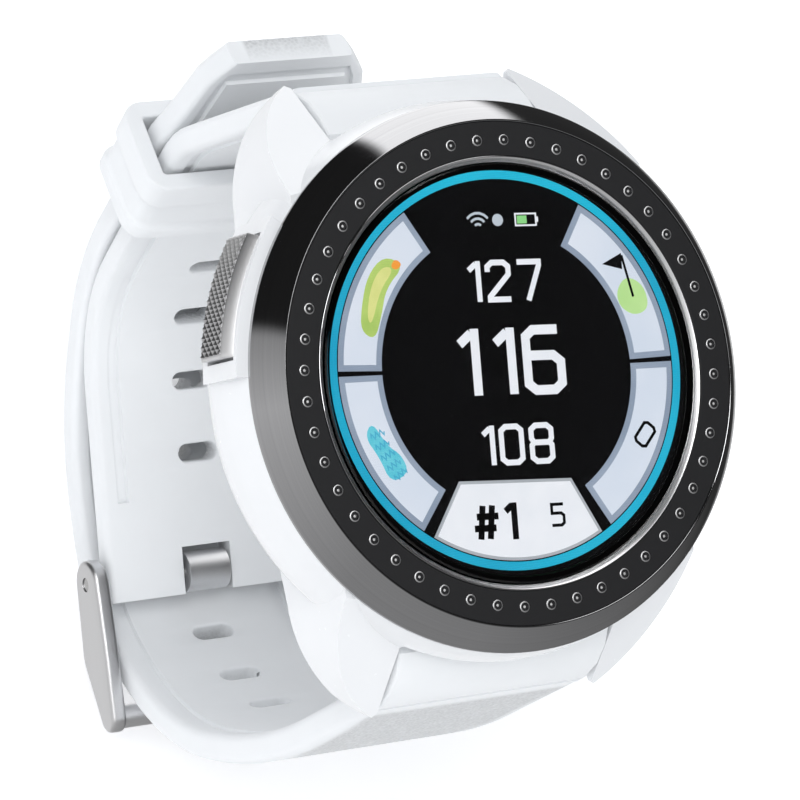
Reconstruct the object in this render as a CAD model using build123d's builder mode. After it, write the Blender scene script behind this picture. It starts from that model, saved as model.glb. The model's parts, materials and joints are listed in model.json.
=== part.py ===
"""Golf GPS watch: round polymer case with four lugs, steel bezel, side button, and a buckled two-part strap.

Millimetres. +Z leaves the face, +Y points to 12 o'clock, +X to 3 o'clock.
The origin is the centre of the case back's outer flat face.
"""
import math
import os

from build123d import *

os.makedirs("parts", exist_ok=True)

# ---------------------------------------------------------------- head
HEAD_H = 12.6            # case back face to the top of the bezel
CASE_R = 23.1            # widest point of the case wall
CASE_TOP_IN = 0.1        # case wall inside the bezel's edge
CASE_WAIST_Z = 4.8       # height of the widest point
CASE_CHEEK_IN = 0.9      # wall inside its widest radius, low down
CASE_CHEEK_Z = 2.2
CASE_SHOULDER_IN = 0.12  # and the same near the bezel
CASE_SHOULDER_RISE = 2.4 # above the widest point
CASE_FOOT_IN = 3.3       # flat foot around the case back, inside the widest point
CASE_FOOT_Z = 0.9
CASE_WALL = 4.5          # widest point to the hollow
LEDGE_W = 4.6            # ledge that the case back seals on
LEDGE_Z = 2.0
LEDGE_T = 1.2

# ---------------------------------------------------------------- bezel
BEZEL_INSET = 0.6        # bezel's edge inside the case's widest point
BEZEL_H = 2.8
BEZEL_EDGE = 0.45        # upright outer edge under the bevel
BEZEL_ROUND = 0.12
BEZEL_BEVEL_W = 1.9
BEZEL_CREST_W = 0.15     # flat outside the insert
INSERT_W = 2.85
INSERT_T = 0.6
BEZEL_LIP_W = 0.5        # metal inside the insert
BEZEL_CHAMFER = 0.4
LENS_SEAT_W = 0.65
SPIGOT_GAP = 0.1         # ring under the bezel that centres it in the case
SPIGOT_H = 0.8
BEZEL_SEAL_IN = 1.0      # from the hollow
BEZEL_SEAL_W = 0.8
BEZEL_SEAL_T = 0.6
STUD_COUNT = 48
STUD_INSET = 1.55        # from the insert's outer edge
STUD_R = 0.45
STUD_PHASE = 1.35        # degrees from 3 o'clock to the first stud
STUD_DIMPLE = 0.26
STUD_DIMPLE_TIP_R = 0.08
STUD_RIM = 0.1

# ---------------------------------------------------------------- lens and display
LENS_GAP = 0.07
LENS_T = 0.6
LENS_CHAMFER = 0.15
GASKET_T = 0.15
DISPLAY_GAP = 0.1
DISPLAY_T = 1.25
BOND_GAP = 0.02
FLEX_W = 8.0
FLEX_T = 1.2
FLEX_Y = -14.0

# ---------------------------------------------------------------- inside the case
PLAY = 0.15              # loose clearance between inner pieces
FRAME_WALL = 1.1
FRAME_FLOOR = 0.5
BOARD_ROOM = 2.33        # frame's top to the display
WINDOW_MARGIN = 2.5      # frame window past the outer sides of the stems
WINDOW_H = 4.4
WIRE_SLOT_L = 12.0
WIRE_SLOT_W = 2.0
WIRE_SLOT_Y = -8.0
BOARD_T = 0.8
BATTERY_L = 23.0
BATTERY_W = 21.0
BATTERY_T = 3.3
BATTERY_X = 1.5
BATTERY_ROUND = 1.5
PAD_MARGIN = 1.5         # battery edge to pad edge
PAD_T = 0.2
MOTOR_R = 3.0
MOTOR_T = 2.5
MOTOR_GAP = 0.3          # motor to battery
MOTOR_Y = -3.6
BOARD_SCREW_IN = 2.9     # from the frame's outside
BOARD_SCREW_ANGLES = [90, 230, 310]
BOARD_POST_R = 1.1
BOARD_SCREW_R = 0.5
BOARD_SCREW_L = 2.3      # grip in the post
BOARD_HOLE_L = 2.5
BOARD_HEAD_R = 0.9
BOARD_HEAD_T = 0.4
CAN_L = 12.0
CAN_W = 10.0
CAN_H = 1.2
CAN_SHEET = 0.2
CAN_ROUND = 0.6
CAN_SPOT = (5.5, -3.0)
ANTENNA_L = 10.0
ANTENNA_T = 1.3
ANTENNA_SPOT = (-6.5, 5.5)

# ---------------------------------------------------------------- case back
BACK_IN = 0.2            # case back inside the hollow's radius
BACK_FLANGE_W = 3.4
BACK_STEP = 0.6          # raised pad proud of the flange
BACK_CHAMFER = 0.4
BACK_PLUG_T = 1.0        # stands into the case inside the seal
BACK_SCREW_IN = 1.7
BACK_SCREW_R = 0.7
BACK_SCREW_HEAD_R = 1.25
BACK_SCREW_HEAD_T = 0.7
BACK_SCREW_COUNT = 4
BACK_SCREW_END_GAP = 0.1
CROSS_SLOT_L = 1.6
CROSS_SLOT_W = 0.3
SEAL_INSET = 0.3         # from the ledge's inner edge
SEAL_W = 1.0
SEAL_T = 0.5
CONTACT_R = 0.8
CONTACT_PITCH = 2.6
CONTACT_COUNT = 4
CONTACT_SINK = 0.05      # contact face below the case back face
MAGNET_R = 2.0
MAGNET_T = 1.2
MAGNET_X = 8.6

# ---------------------------------------------------------------- lugs and spring bars
STRAP_W = 20.0
LUG_PLAY = 0.5           # strap's width to the lugs' inner faces
LUG_REACH = 6.0          # recess wall to the lug's tip
LUG_TIP_W = 0.4
LUG_TIP_CUT = 0.3
LUG_ROOT = 3.7           # inner face starts this far behind the recess wall
# a lug in plan: (outwards from its inner face, past the recess wall), ending at the middle of its outer curve
LUG_OUTLINE = [(6.35, -7.1), (6.1, -4.1), (4.5, 1.8)]
LUG_CLEAR = 0.6          # lug starts this far outside the case foot
LUG_BASE_Z = 6.6         # where the sloping top meets the recess wall
LUG_SLOPE = 1.067        # fall per millimetre towards the tip
LUG_SIDE_SLOPE = 0.2     # fall per millimetre away from the strap
LUG_BOTTOM_Z = -0.8
LUG_UNDER_L = 2.4        # length of the rising underside at the tip
LUG_UNDER_SLOPE = 0.35
LUG_TOP_Z = 9.6
RECESS_IN = 3.0          # flat cut for the strap end, inside the case's widest point
RECESS_TOP_Z = 6.7
RECESS_L = 10.0
BAR_OUT = 2.4            # recess wall to the bar
BAR_Z = 1.5
BAR_R = 0.75
BAR_WALL = 0.2
BAR_TIP_R = 0.4
BAR_TIP_REACH = 1.1      # how far a tip enters its lug
BAR_TIP_END_GAP = 0.2    # tip to the end of its bore
BAR_END_GAP = 0.6        # strap face to the end of the tube
FIT_GAP = 0.05           # running clearance on small pins
KNOB_R = 0.5
KNOB_L = 2.6
KNOB_INSET = 4.2         # strap face to the release knob
RELEASE = 1.2            # travel that frees a bar from its lug
KNOB_SLOT_PLAY = 0.4     # strap slot round the knob
TUBE_SLOT_PLAY = 0.15    # tube slot past the knob's travel
BAR_SPRING_L = 3.0       # from the free knob to the spring's stop
BAR_SPRING_TURNS = 7
BAR_WIRE_R = 0.09
PLUNGER_LEAD = 1.2       # piston in front of the knob
PLUNGER_TAIL = 0.2

# ---------------------------------------------------------------- straps
UPPER_T = 2.4
LOWER_T = 2.6
KNUCKLE_GAP = 0.3        # strap end to the recess wall
# outline of the strap end at the bar: (away from the case, up) from the bar's axis
KNUCKLE = [(-1.2, 3.9), (1.9, 1.2), (3.3, -2.4), (1.0, -2.6), (-1.0, -2.2)]
KNUCKLE_TOP = 3.7
KNUCKLE_BOTTOM = -1.6
SLOT_PITCH = 6.4
SLOT_L = 3.9
SLOT_W = 1.7
UPPER_SLOTS = 4
LOWER_SLOTS = 10
NOTCH_W = 4.9
NOTCH_L = 4.9
TIP_END_W = 11.6
TIP_SHOULDER_W = 15.4
TIP_SHOULDER = 2.2
TIP_TAPER = 8.0

RECESS_Y = CASE_R - RECESS_IN
BAR_Y = RECESS_Y + BAR_OUT
# corner points (Y, Z) of each strap's centre line, and the bend at each inner corner
UPPER_ROUTE = [(BAR_Y + 2.15, BAR_Z - 1.4), (24.75, -23.3), (12.8, -46.6), (-12.6, -49.7)]
UPPER_BENDS = [9.0, 14.0]
LOWER_ROUTE = [
    (-BAR_Y - 1.9, BAR_Z - 2.1),
    (-28.77, -22.72),
    (-26.35, -42.76),
    (-13.94, -54.3),
    (2.27, -54.3),
    (16.9, -45.6),
    (26.97, -25.1),
    (30.87, -19.37),
]
LOWER_BENDS = [60.0, 26.0, 17.0, 27.5, 22.0, 30.0]
SLOTS_BEFORE_TONGUE = 3  # slots between the lug and the one that the tongue sits in
TONGUE_IN_SLOT = 0.2     # the tongue sits this far from its slot's middle, to leave room to swing
FIRST_UPPER_SLOT = 42.1  # along the upper strap to its first slot
UPPER_SLOT_PITCH = 6.7

# ---------------------------------------------------------------- keeper
KEEPER_Y = 25.09         # centre of the keeper's mouth
KEEPER_Z = -26.04
KEEPER_LEAN = 27.2       # degrees from upright, towards 12 o'clock
KEEPER_PLAY_W = 0.9
KEEPER_PLAY_H = 1.1
KEEPER_WALL = 1.7
KEEPER_L = 7.7
KEEPER_LIP = 2.9
KEEPER_RIM = 1.3
KEEPER_BAND_DEPTH = 0.45
KEEPER_ROUND = 2.0
KEEPER_BAND_ROUND = 1.6
KEEPER_GAP_ROUND = 0.5

# ---------------------------------------------------------------- buckle
HINGE_Y = -11.9
HINGE_Z = -49.62
HINGE_R = 0.6
ARM_GAP = 0.4            # strap side to the inner face of an arm
ARM_T = 1.5
ARM_EYE_R = 2.2          # arm end round the bar
ARM_MIDDLE = (-18.5, -49.9)
ARM_MIDDLE_R = 2.5
ARM_CROSS_R = 1.35       # arm end round the crossbar
BAR_END_INSET = 0.1      # bar end inside the arm's outer face
CROSS_Y = -24.2
CROSS_Z = -49.0
CROSS_R = 1.1
TONGUE_W = 3.0
TONGUE_T = 0.8
TONGUE_EYE_R = 1.9
TONGUE_EYE_W = 4.1
TONGUE_ROOT = 1.0        # start of the tongue inside its eye
TONGUE_BENDS = [1.4, 5.0]
TONGUE_OVER = 1.5        # outside of the strap to the tongue's turn
TONGUE_REST = 0.2        # gap between the tongue and the crossbar
TONGUE_LEAN = 25.0       # degrees of its outer end from level
TONGUE_REACH = 5.0       # straight run before the crossbar
TONGUE_PAST = 1.3        # run past the crossbar

# ---------------------------------------------------------------- side button
BUTTON_ANGLE = 158.0     # degrees from 3 o'clock
BUTTON_SPAN = 25.0
BUTTON_PROUD = 1.2       # cap's face outside the case's widest point
BUTTON_T = 1.1
BUTTON_H = 4.4
BUTTON_DROP = 0.7        # below the bezel
BUTTON_CHAMFER = 0.8
POCKET_FLOOR = 0.8       # cap's back to the pocket floor
POCKET_GAP = 0.15
SHOULDER_PROUD = 0.4
SHOULDER_SPAN = 33.0
SHOULDER_DROP = 1.0      # shoulder below the button
SHOULDER_ROOT = 1.6      # shoulder starts this far outside the cavity
POCKET_SIDE = 1.2        # degrees wider than the cap
STEM_R = 0.6
STEM_OFFSET = 3.0
STEM_SINK = 0.2          # stem into the cap
SPRING_SEAT_DEPTH = 1.6
SPRING_HEAD_GAP = 0.25   # spring to the cap
ORING_DEPTH = 0.9        # seal from the cavity wall
ORING_PLAY = 0.02
YOKE_T = 0.6
YOKE_H = 1.8
YOKE_END = 1.5           # yoke past each stem's centre
YOKE_ROUND = 0.4
YOKE_REST = 0.02         # yoke to the switch plunger
YOKE_GAP = 0.15
SPRING_WIRE_R = 0.12
SPRING_R = 0.88
SPRING_TURNS = 4
ORING_R = 0.2
SWITCH_L = 3.6
SWITCH_H = 2.6
SWITCH_T = 1.7
PLUNGER_R = 0.7
PLUNGER_L = 0.6
PLUNGER_BORE_L = 1.0
PLUNGER_IN = 0.5         # plunger inside the switch at rest

# ---------------------------------------------------------------- worked-out places
CASE_SHOULDER_Z = CASE_WAIST_Z + CASE_SHOULDER_RISE
CASE_FOOT_R = CASE_R - CASE_FOOT_IN
CAVITY_R = CASE_R - CASE_WALL
LEDGE_R = CAVITY_R - LEDGE_W
BACK_R = CAVITY_R - BACK_IN
BACK_PAD_R = BACK_R - BACK_FLANGE_W
BACK_SCREW_RING = BACK_R - BACK_SCREW_IN
SEAL_IN_R = LEDGE_R + SEAL_INSET
BEZEL_R = CASE_R - BEZEL_INSET
CASE_TOP_R = BEZEL_R - CASE_TOP_IN
BEZEL_CREST_R = BEZEL_R - BEZEL_BEVEL_W
INSERT_R = BEZEL_CREST_R - BEZEL_CREST_W
INSERT_BORE_R = INSERT_R - INSERT_W
BEZEL_BORE_R = INSERT_BORE_R - BEZEL_LIP_W
BEZEL_LEDGE_R = BEZEL_BORE_R - LENS_SEAT_W
STUD_RING_R = INSERT_R - STUD_INSET
DISPLAY_R = BEZEL_LEDGE_R - DISPLAY_GAP
SPIGOT_R = CAVITY_R - SPIGOT_GAP
BEZEL_SEAL_IN_R = CAVITY_R + BEZEL_SEAL_IN
BEZEL_SEAL_OUT_R = BEZEL_SEAL_IN_R + BEZEL_SEAL_W
BEZEL_Z = HEAD_H - BEZEL_H
INSERT_Z = HEAD_H - INSERT_T
LENS_Z = HEAD_H - LENS_T
LEDGE_TOP_Z = LENS_Z - GASKET_T
LENS_R = BEZEL_BORE_R - LENS_GAP
DISPLAY_TOP_Z = LENS_Z - BOND_GAP
DISPLAY_Z = DISPLAY_TOP_Z - DISPLAY_T
CAVITY_Z = LEDGE_Z + LEDGE_T
FRAME_TOP_Z = DISPLAY_Z - BOARD_ROOM
FRAME_R = CAVITY_R - 2 * PLAY
FRAME_IN = FRAME_R - FRAME_WALL
BOARD_SCREW_RING = FRAME_R - BOARD_SCREW_IN
MOTOR_X = BATTERY_X - BATTERY_L / 2 - MOTOR_GAP - MOTOR_R
FLOOR_TOP_Z = CAVITY_Z + FRAME_FLOOR
BATTERY_Z = FLOOR_TOP_Z + PAD_T
BOARD_TOP_Z = FRAME_TOP_Z + BOARD_T
BACK_FLANGE_Z = BACK_STEP
HALF_W = STRAP_W / 2
LUG_TIP_Y = RECESS_Y + LUG_REACH
LUG_GAP = STRAP_W + LUG_PLAY
KEEPER_GAP_W = STRAP_W + KEEPER_PLAY_W
KEEPER_GAP_H = UPPER_T + LOWER_T + KEEPER_PLAY_H
BUTTON_R = CASE_R + BUTTON_PROUD
SHOULDER_R = CASE_R + SHOULDER_PROUD
BUTTON_HIGH_Z = BEZEL_Z - BUTTON_DROP
BUTTON_LOW_Z = BUTTON_HIGH_Z - BUTTON_H
BUTTON_Z = (BUTTON_LOW_Z + BUTTON_HIGH_Z) / 2
POCKET_R = BUTTON_R - BUTTON_T - POCKET_FLOOR
YOKE_OUT = math.sqrt(CAVITY_R**2 - (STEM_OFFSET + YOKE_END) ** 2) - YOKE_GAP
YOKE_IN = YOKE_OUT - YOKE_T
STEM_END = BUTTON_R - BUTTON_T + STEM_SINK
BOARD_SPOTS = [
    (BOARD_SCREW_RING * math.cos(math.radians(angle)), BOARD_SCREW_RING * math.sin(math.radians(angle)))
    for angle in BOARD_SCREW_ANGLES
]


def press_plane(distance, across=0.0):
    """Plane at a distance from the case axis whose normal points out along the button."""
    angle = math.radians(BUTTON_ANGLE)
    out = Vector(math.cos(angle), math.sin(angle), 0)
    side = Vector(-math.sin(angle), math.cos(angle), 0)
    spot = out * distance + side * across + Vector(0, 0, BUTTON_Z)
    return Plane(origin=spot, x_dir=side, z_dir=out)


def sector(inner, outer, span):
    """Sketch of a ring sector centred on the button's direction."""
    half = math.radians(span / 2)
    middle = math.radians(BUTTON_ANGLE)

    def spot(radius, angle):
        return (radius * math.cos(angle), radius * math.sin(angle))

    with BuildSketch() as shape:
        with BuildLine():
            low, high = middle - half, middle + half
            ThreePointArc(spot(outer, low), spot(outer, middle), spot(outer, high))
            Line(spot(outer, high), spot(inner, high))
            ThreePointArc(spot(inner, high), spot(inner, middle), spot(inner, low))
            Line(spot(inner, low), spot(outer, low))
        make_face()
    return shape.sketch


def save(part, name):
    """Label one finished piece and write its file."""
    part.label = name
    export_step(part, f"parts/{name}.step")


def ring(name, inner, outer, low, high):
    """A plain ring between two radii and two heights."""
    with BuildPart() as piece:
        with BuildSketch(Plane.XY.offset(low)):
            Circle(outer)
            Circle(inner, mode=Mode.SUBTRACT)
        extrude(amount=high - low)
    save(piece.part, name)
    return piece.part


# ================================================================ case body
BACK_SCREWS = PolarLocations(BACK_SCREW_RING, BACK_SCREW_COUNT, start_angle=45)
SPRING_SEAT = POCKET_R - SPRING_SEAT_DEPTH
ORING_SEAT = CAVITY_R + ORING_DEPTH

with BuildPart() as case_body:
    with BuildSketch(Plane.XZ):
        with BuildLine():
            foot, waist, top = (CASE_FOOT_R, CASE_FOOT_Z), (CASE_R, CASE_WAIST_Z), (CASE_TOP_R, BEZEL_Z)
            ThreePointArc(foot, (CASE_R - CASE_CHEEK_IN, CASE_CHEEK_Z), waist)
            ThreePointArc(waist, (CASE_R - CASE_SHOULDER_IN, CASE_SHOULDER_Z), top)
            Polyline(
                (CASE_TOP_R, BEZEL_Z),
                (CAVITY_R, BEZEL_Z),
                (CAVITY_R, CAVITY_Z),
                (LEDGE_R, CAVITY_Z),
                (LEDGE_R, LEDGE_Z),
                (BACK_R + PLAY, LEDGE_Z),
                (BACK_R + PLAY, CASE_FOOT_Z),
                (CASE_FOOT_R, CASE_FOOT_Z),
            )
        make_face()
    revolve(axis=Axis.Z)
    # the strap ends sit in flat recesses below the bezel
    with BuildSketch(Plane.XY.offset(LUG_BOTTOM_Z)):
        for side in (1, -1):
            with Locations((0, side * (RECESS_Y + RECESS_L / 2))):
                Rectangle(LUG_GAP, RECESS_L)
    extrude(amount=RECESS_TOP_Z - LUG_BOTTOM_Z, mode=Mode.SUBTRACT)

# one lug, with a sloping top that falls to a point
LUG_IN = LUG_GAP / 2
with BuildPart() as lug:
    with BuildSketch(Plane.XY.offset(LUG_BOTTOM_Z)):
        with BuildLine():
            lug_tip = (LUG_IN + LUG_TIP_W, LUG_TIP_Y)
            *lug_wall, lug_cheek = [(LUG_IN + out, RECESS_Y + past) for out, past in LUG_OUTLINE]
            Polyline(lug_tip, (LUG_IN, LUG_TIP_Y - LUG_TIP_CUT), (LUG_IN, RECESS_Y - LUG_ROOT), *lug_wall)
            ThreePointArc(lug_wall[-1], lug_cheek, lug_tip)
        make_face()
    extrude(amount=LUG_TOP_Z - LUG_BOTTOM_Z)
    slope_normal = Vector(LUG_SIDE_SLOPE, LUG_SLOPE, 1).normalized()
    slope = Plane(origin=(LUG_IN, RECESS_Y, LUG_BASE_Z), z_dir=slope_normal)
    split(bisect_by=slope, keep=Keep.BOTTOM)
    # the underside rises towards the tip
    underside = Plane(origin=(LUG_IN, LUG_TIP_Y - LUG_UNDER_L, LUG_BOTTOM_Z), z_dir=(0, LUG_UNDER_SLOPE, -1))
    split(bisect_by=underside, keep=Keep.BOTTOM)
    # keep clear of the case's hollow
    with BuildSketch(Plane.XY.offset(LUG_BOTTOM_Z)):
        Circle(CASE_FOOT_R + LUG_CLEAR)
    extrude(amount=LUG_TOP_Z - LUG_BOTTOM_Z, mode=Mode.SUBTRACT)

with BuildPart() as case_body_full:
    add(case_body.part)
    for mirror_x in (False, True):
        for mirror_y in (False, True):
            corner = lug.part
            if mirror_x:
                corner = corner.mirror(Plane.YZ)
            if mirror_y:
                corner = corner.mirror(Plane.XZ)
            add(corner)
    # raised shoulder around the button
    with BuildSketch(Plane.XY.offset(BUTTON_LOW_Z - SHOULDER_DROP)):
        add(sector(CAVITY_R + SHOULDER_ROOT, SHOULDER_R, SHOULDER_SPAN))
    extrude(amount=BEZEL_Z - BUTTON_LOW_Z + SHOULDER_DROP)
    # pocket for the cap
    with BuildSketch(Plane.XY.offset(BUTTON_LOW_Z - POCKET_GAP)):
        add(sector(POCKET_R, BUTTON_R + BUTTON_T, BUTTON_SPAN + POCKET_SIDE))
    extrude(amount=BUTTON_HIGH_Z - BUTTON_LOW_Z + 2 * POCKET_GAP, mode=Mode.SUBTRACT)
    # stem bores, spring seats and grooves for the small seals
    for across in (-STEM_OFFSET, STEM_OFFSET):
        with BuildSketch(press_plane(FRAME_IN, across)):
            Circle(STEM_R + FIT_GAP)
        extrude(amount=BUTTON_R - FRAME_IN, mode=Mode.SUBTRACT)
        with BuildSketch(press_plane(SPRING_SEAT, across)):
            Circle(SPRING_R + SPRING_WIRE_R + PLAY)
        extrude(amount=BUTTON_R - SPRING_SEAT, mode=Mode.SUBTRACT)
        with BuildSketch(press_plane(ORING_SEAT - ORING_R - ORING_PLAY, across)):
            Circle(STEM_R + 2 * ORING_R + ORING_PLAY)
        extrude(amount=2 * (ORING_R + ORING_PLAY), mode=Mode.SUBTRACT)
    # blind bores for the spring bars
    for side in (1, -1):
        with BuildSketch(Plane.YZ.offset(-LUG_IN - BAR_TIP_REACH - BAR_TIP_END_GAP)):
            with Locations((side * BAR_Y, BAR_Z)):
                Circle(BAR_TIP_R + FIT_GAP)
        extrude(amount=LUG_GAP + 2 * (BAR_TIP_REACH + BAR_TIP_END_GAP), mode=Mode.SUBTRACT)
    # tapped holes for the case back's screws
    with BuildSketch(Plane.XY.offset(LEDGE_Z)):
        with BACK_SCREWS:
            Circle(BACK_SCREW_R)
    extrude(amount=LEDGE_T, mode=Mode.SUBTRACT)
    # bezel seal groove
    with BuildSketch(Plane.XY.offset(BEZEL_Z - BEZEL_SEAL_T)):
        Circle(BEZEL_SEAL_OUT_R)
        Circle(BEZEL_SEAL_IN_R, mode=Mode.SUBTRACT)
    extrude(amount=BEZEL_SEAL_T, mode=Mode.SUBTRACT)
save(case_body_full.part, "case_body")

# ================================================================ bezel and face
with BuildPart() as bezel_ring:
    with BuildSketch(Plane.XZ):
        with BuildLine():
            Polyline(
                (BEZEL_BORE_R, HEAD_H - BEZEL_CHAMFER),
                (BEZEL_BORE_R + BEZEL_CHAMFER, HEAD_H),
                (INSERT_BORE_R, HEAD_H),
                (INSERT_BORE_R, INSERT_Z),
                (INSERT_R, INSERT_Z),
                (INSERT_R, HEAD_H),
                (BEZEL_CREST_R, HEAD_H),
                (BEZEL_R, BEZEL_Z + BEZEL_EDGE),
                (BEZEL_R, BEZEL_Z),
                (SPIGOT_R, BEZEL_Z),
                (SPIGOT_R, BEZEL_Z - SPIGOT_H),
                (BEZEL_BORE_R, BEZEL_Z - SPIGOT_H),
                (BEZEL_BORE_R, BEZEL_Z),
                (BEZEL_LEDGE_R, BEZEL_Z),
                (BEZEL_LEDGE_R, LEDGE_TOP_Z),
                (BEZEL_BORE_R, LEDGE_TOP_Z),
                close=True,
            )
        make_face()
    revolve(axis=Axis.Z)
    rims = bezel_ring.edges().filter_by(GeomType.CIRCLE).group_by(SortBy.RADIUS)
    fillet(rims[-1], radius=BEZEL_ROUND)
save(bezel_ring.part, "bezel_ring")

STUDS = PolarLocations(STUD_RING_R, STUD_COUNT, start_angle=STUD_PHASE)

with BuildPart() as bezel_insert:
    with BuildSketch(Plane.XY.offset(INSERT_Z)):
        Circle(INSERT_R)
        Circle(INSERT_BORE_R, mode=Mode.SUBTRACT)
        with STUDS:
            Circle(STUD_R, mode=Mode.SUBTRACT)
    extrude(amount=INSERT_T)
save(bezel_insert.part, "bezel_insert")

with BuildPart() as bezel_studs:
    with BuildSketch(Plane.XY.offset(INSERT_Z)):
        with STUDS:
            Circle(STUD_R)
    extrude(amount=INSERT_T)
    with Locations(Plane.XY.offset(HEAD_H)):
        with STUDS:
            Cone(
                STUD_DIMPLE_TIP_R,
                STUD_R - STUD_RIM,
                STUD_DIMPLE,
                align=(Align.CENTER, Align.CENTER, Align.MAX),
                mode=Mode.SUBTRACT,
            )
save(bezel_studs.part, "bezel_studs")

ring("bezel_seal", BEZEL_SEAL_IN_R, BEZEL_SEAL_OUT_R, BEZEL_Z - BEZEL_SEAL_T, BEZEL_Z)
ring("lens_gasket", BEZEL_LEDGE_R + FIT_GAP, LENS_R, LEDGE_TOP_Z, LENS_Z)

with BuildPart() as lens:
    with BuildSketch(Plane.XY.offset(LENS_Z)):
        Circle(LENS_R)
    extrude(amount=LENS_T)
    chamfer(lens.edges().group_by(Axis.Z)[-1], length=LENS_CHAMFER)
save(lens.part, "lens")

with BuildPart() as display_panel:
    with BuildSketch(Plane.XY.offset(DISPLAY_Z)):
        Circle(DISPLAY_R)
    extrude(amount=DISPLAY_T)
save(display_panel.part, "display_panel")

with BuildPart() as display_flex:
    with BuildSketch(Plane.XY.offset(BOARD_TOP_Z)):
        with Locations((0, FLEX_Y)):
            Rectangle(FLEX_W, FLEX_T)
    extrude(amount=DISPLAY_Z - BOARD_TOP_Z)
save(display_flex.part, "display_flex")

# ================================================================ inside the case
with BuildPart() as inner_frame:
    with BuildSketch(Plane.XY.offset(CAVITY_Z)):
        Circle(FRAME_R)
    extrude(amount=FRAME_TOP_Z - CAVITY_Z)
    with BuildSketch(Plane.XY.offset(FLOOR_TOP_Z)):
        Circle(FRAME_IN)
    extrude(amount=FRAME_TOP_Z - FLOOR_TOP_Z, mode=Mode.SUBTRACT)
    # posts for the board's screws
    with BuildSketch(Plane.XY.offset(FLOOR_TOP_Z)):
        with Locations(*BOARD_SPOTS):
            Circle(BOARD_POST_R)
    extrude(amount=FRAME_TOP_Z - FLOOR_TOP_Z)
    with BuildSketch(Plane.XY.offset(FRAME_TOP_Z - BOARD_HOLE_L)):
        with Locations(*BOARD_SPOTS):
            Circle(BOARD_SCREW_R)
    extrude(amount=BOARD_HOLE_L, mode=Mode.SUBTRACT)
    # window for the button's yoke and switch
    with BuildSketch(press_plane(YOKE_IN - SWITCH_T)):
        Rectangle(2 * (STEM_OFFSET + WINDOW_MARGIN), WINDOW_H)
    extrude(amount=CAVITY_R - YOKE_IN + SWITCH_T, mode=Mode.SUBTRACT)
    # charging wires pass through the floor
    with BuildSketch(Plane.XY.offset(CAVITY_Z)):
        with Locations((0, WIRE_SLOT_Y)):
            Rectangle(WIRE_SLOT_L, WIRE_SLOT_W)
    extrude(amount=FRAME_FLOOR, mode=Mode.SUBTRACT)
save(inner_frame.part, "inner_frame")

with BuildPart() as battery_pad:
    with BuildSketch(Plane.XY.offset(FLOOR_TOP_Z)):
        with Locations((BATTERY_X, 0)):
            Rectangle(BATTERY_L - 2 * PAD_MARGIN, BATTERY_W - 2 * PAD_MARGIN)
    extrude(amount=PAD_T)
save(battery_pad.part, "battery_pad")

with BuildPart() as battery:
    with BuildSketch(Plane.XY.offset(BATTERY_Z)):
        with Locations((BATTERY_X, 0)):
            RectangleRounded(BATTERY_L, BATTERY_W, BATTERY_ROUND)
    extrude(amount=BATTERY_T)
save(battery.part, "battery")

with BuildPart() as vibration_motor:
    with BuildSketch(Plane.XY.offset(FLOOR_TOP_Z)):
        with Locations((MOTOR_X, MOTOR_Y)):
            Circle(MOTOR_R)
    extrude(amount=MOTOR_T)
save(vibration_motor.part, "vibration_motor")

with BuildPart() as main_board:
    with BuildSketch(Plane.XY.offset(FRAME_TOP_Z)):
        Circle(BEZEL_BORE_R - PLAY)
        with Locations(*BOARD_SPOTS):
            Circle(BOARD_SCREW_R + FIT_GAP, mode=Mode.SUBTRACT)
    extrude(amount=BOARD_T)
save(main_board.part, "main_board")

with BuildPart() as board_screws:
    with BuildSketch(Plane.XY.offset(FRAME_TOP_Z - BOARD_SCREW_L)):
        with Locations(*BOARD_SPOTS):
            Circle(BOARD_SCREW_R)
    extrude(amount=BOARD_SCREW_L + BOARD_T)
    with BuildSketch(Plane.XY.offset(BOARD_TOP_Z)):
        with Locations(*BOARD_SPOTS):
            Circle(BOARD_HEAD_R)
    extrude(amount=BOARD_HEAD_T)
save(board_screws.part, "board_screws")

with BuildPart() as shield_can:
    with BuildSketch(Plane.XY.offset(BOARD_TOP_Z)):
        with Locations(CAN_SPOT):
            RectangleRounded(CAN_L, CAN_W, CAN_ROUND)
    extrude(amount=CAN_H)
    with BuildSketch(Plane.XY.offset(BOARD_TOP_Z)):
        with Locations(CAN_SPOT):
            Rectangle(CAN_L - 2 * CAN_SHEET, CAN_W - 2 * CAN_SHEET)
    extrude(amount=CAN_H - CAN_SHEET, mode=Mode.SUBTRACT)
save(shield_can.part, "shield_can")

with BuildPart() as gps_antenna:
    with BuildSketch(Plane.XY.offset(BOARD_TOP_Z)):
        with Locations(ANTENNA_SPOT):
            Rectangle(ANTENNA_L, ANTENNA_L)
    extrude(amount=ANTENNA_T)
save(gps_antenna.part, "gps_antenna")

# ================================================================ case back
CONTACTS = GridLocations(CONTACT_PITCH, 1, CONTACT_COUNT, 1)
MAGNETS = GridLocations(2 * MAGNET_X, 1, 2, 1)

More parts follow.
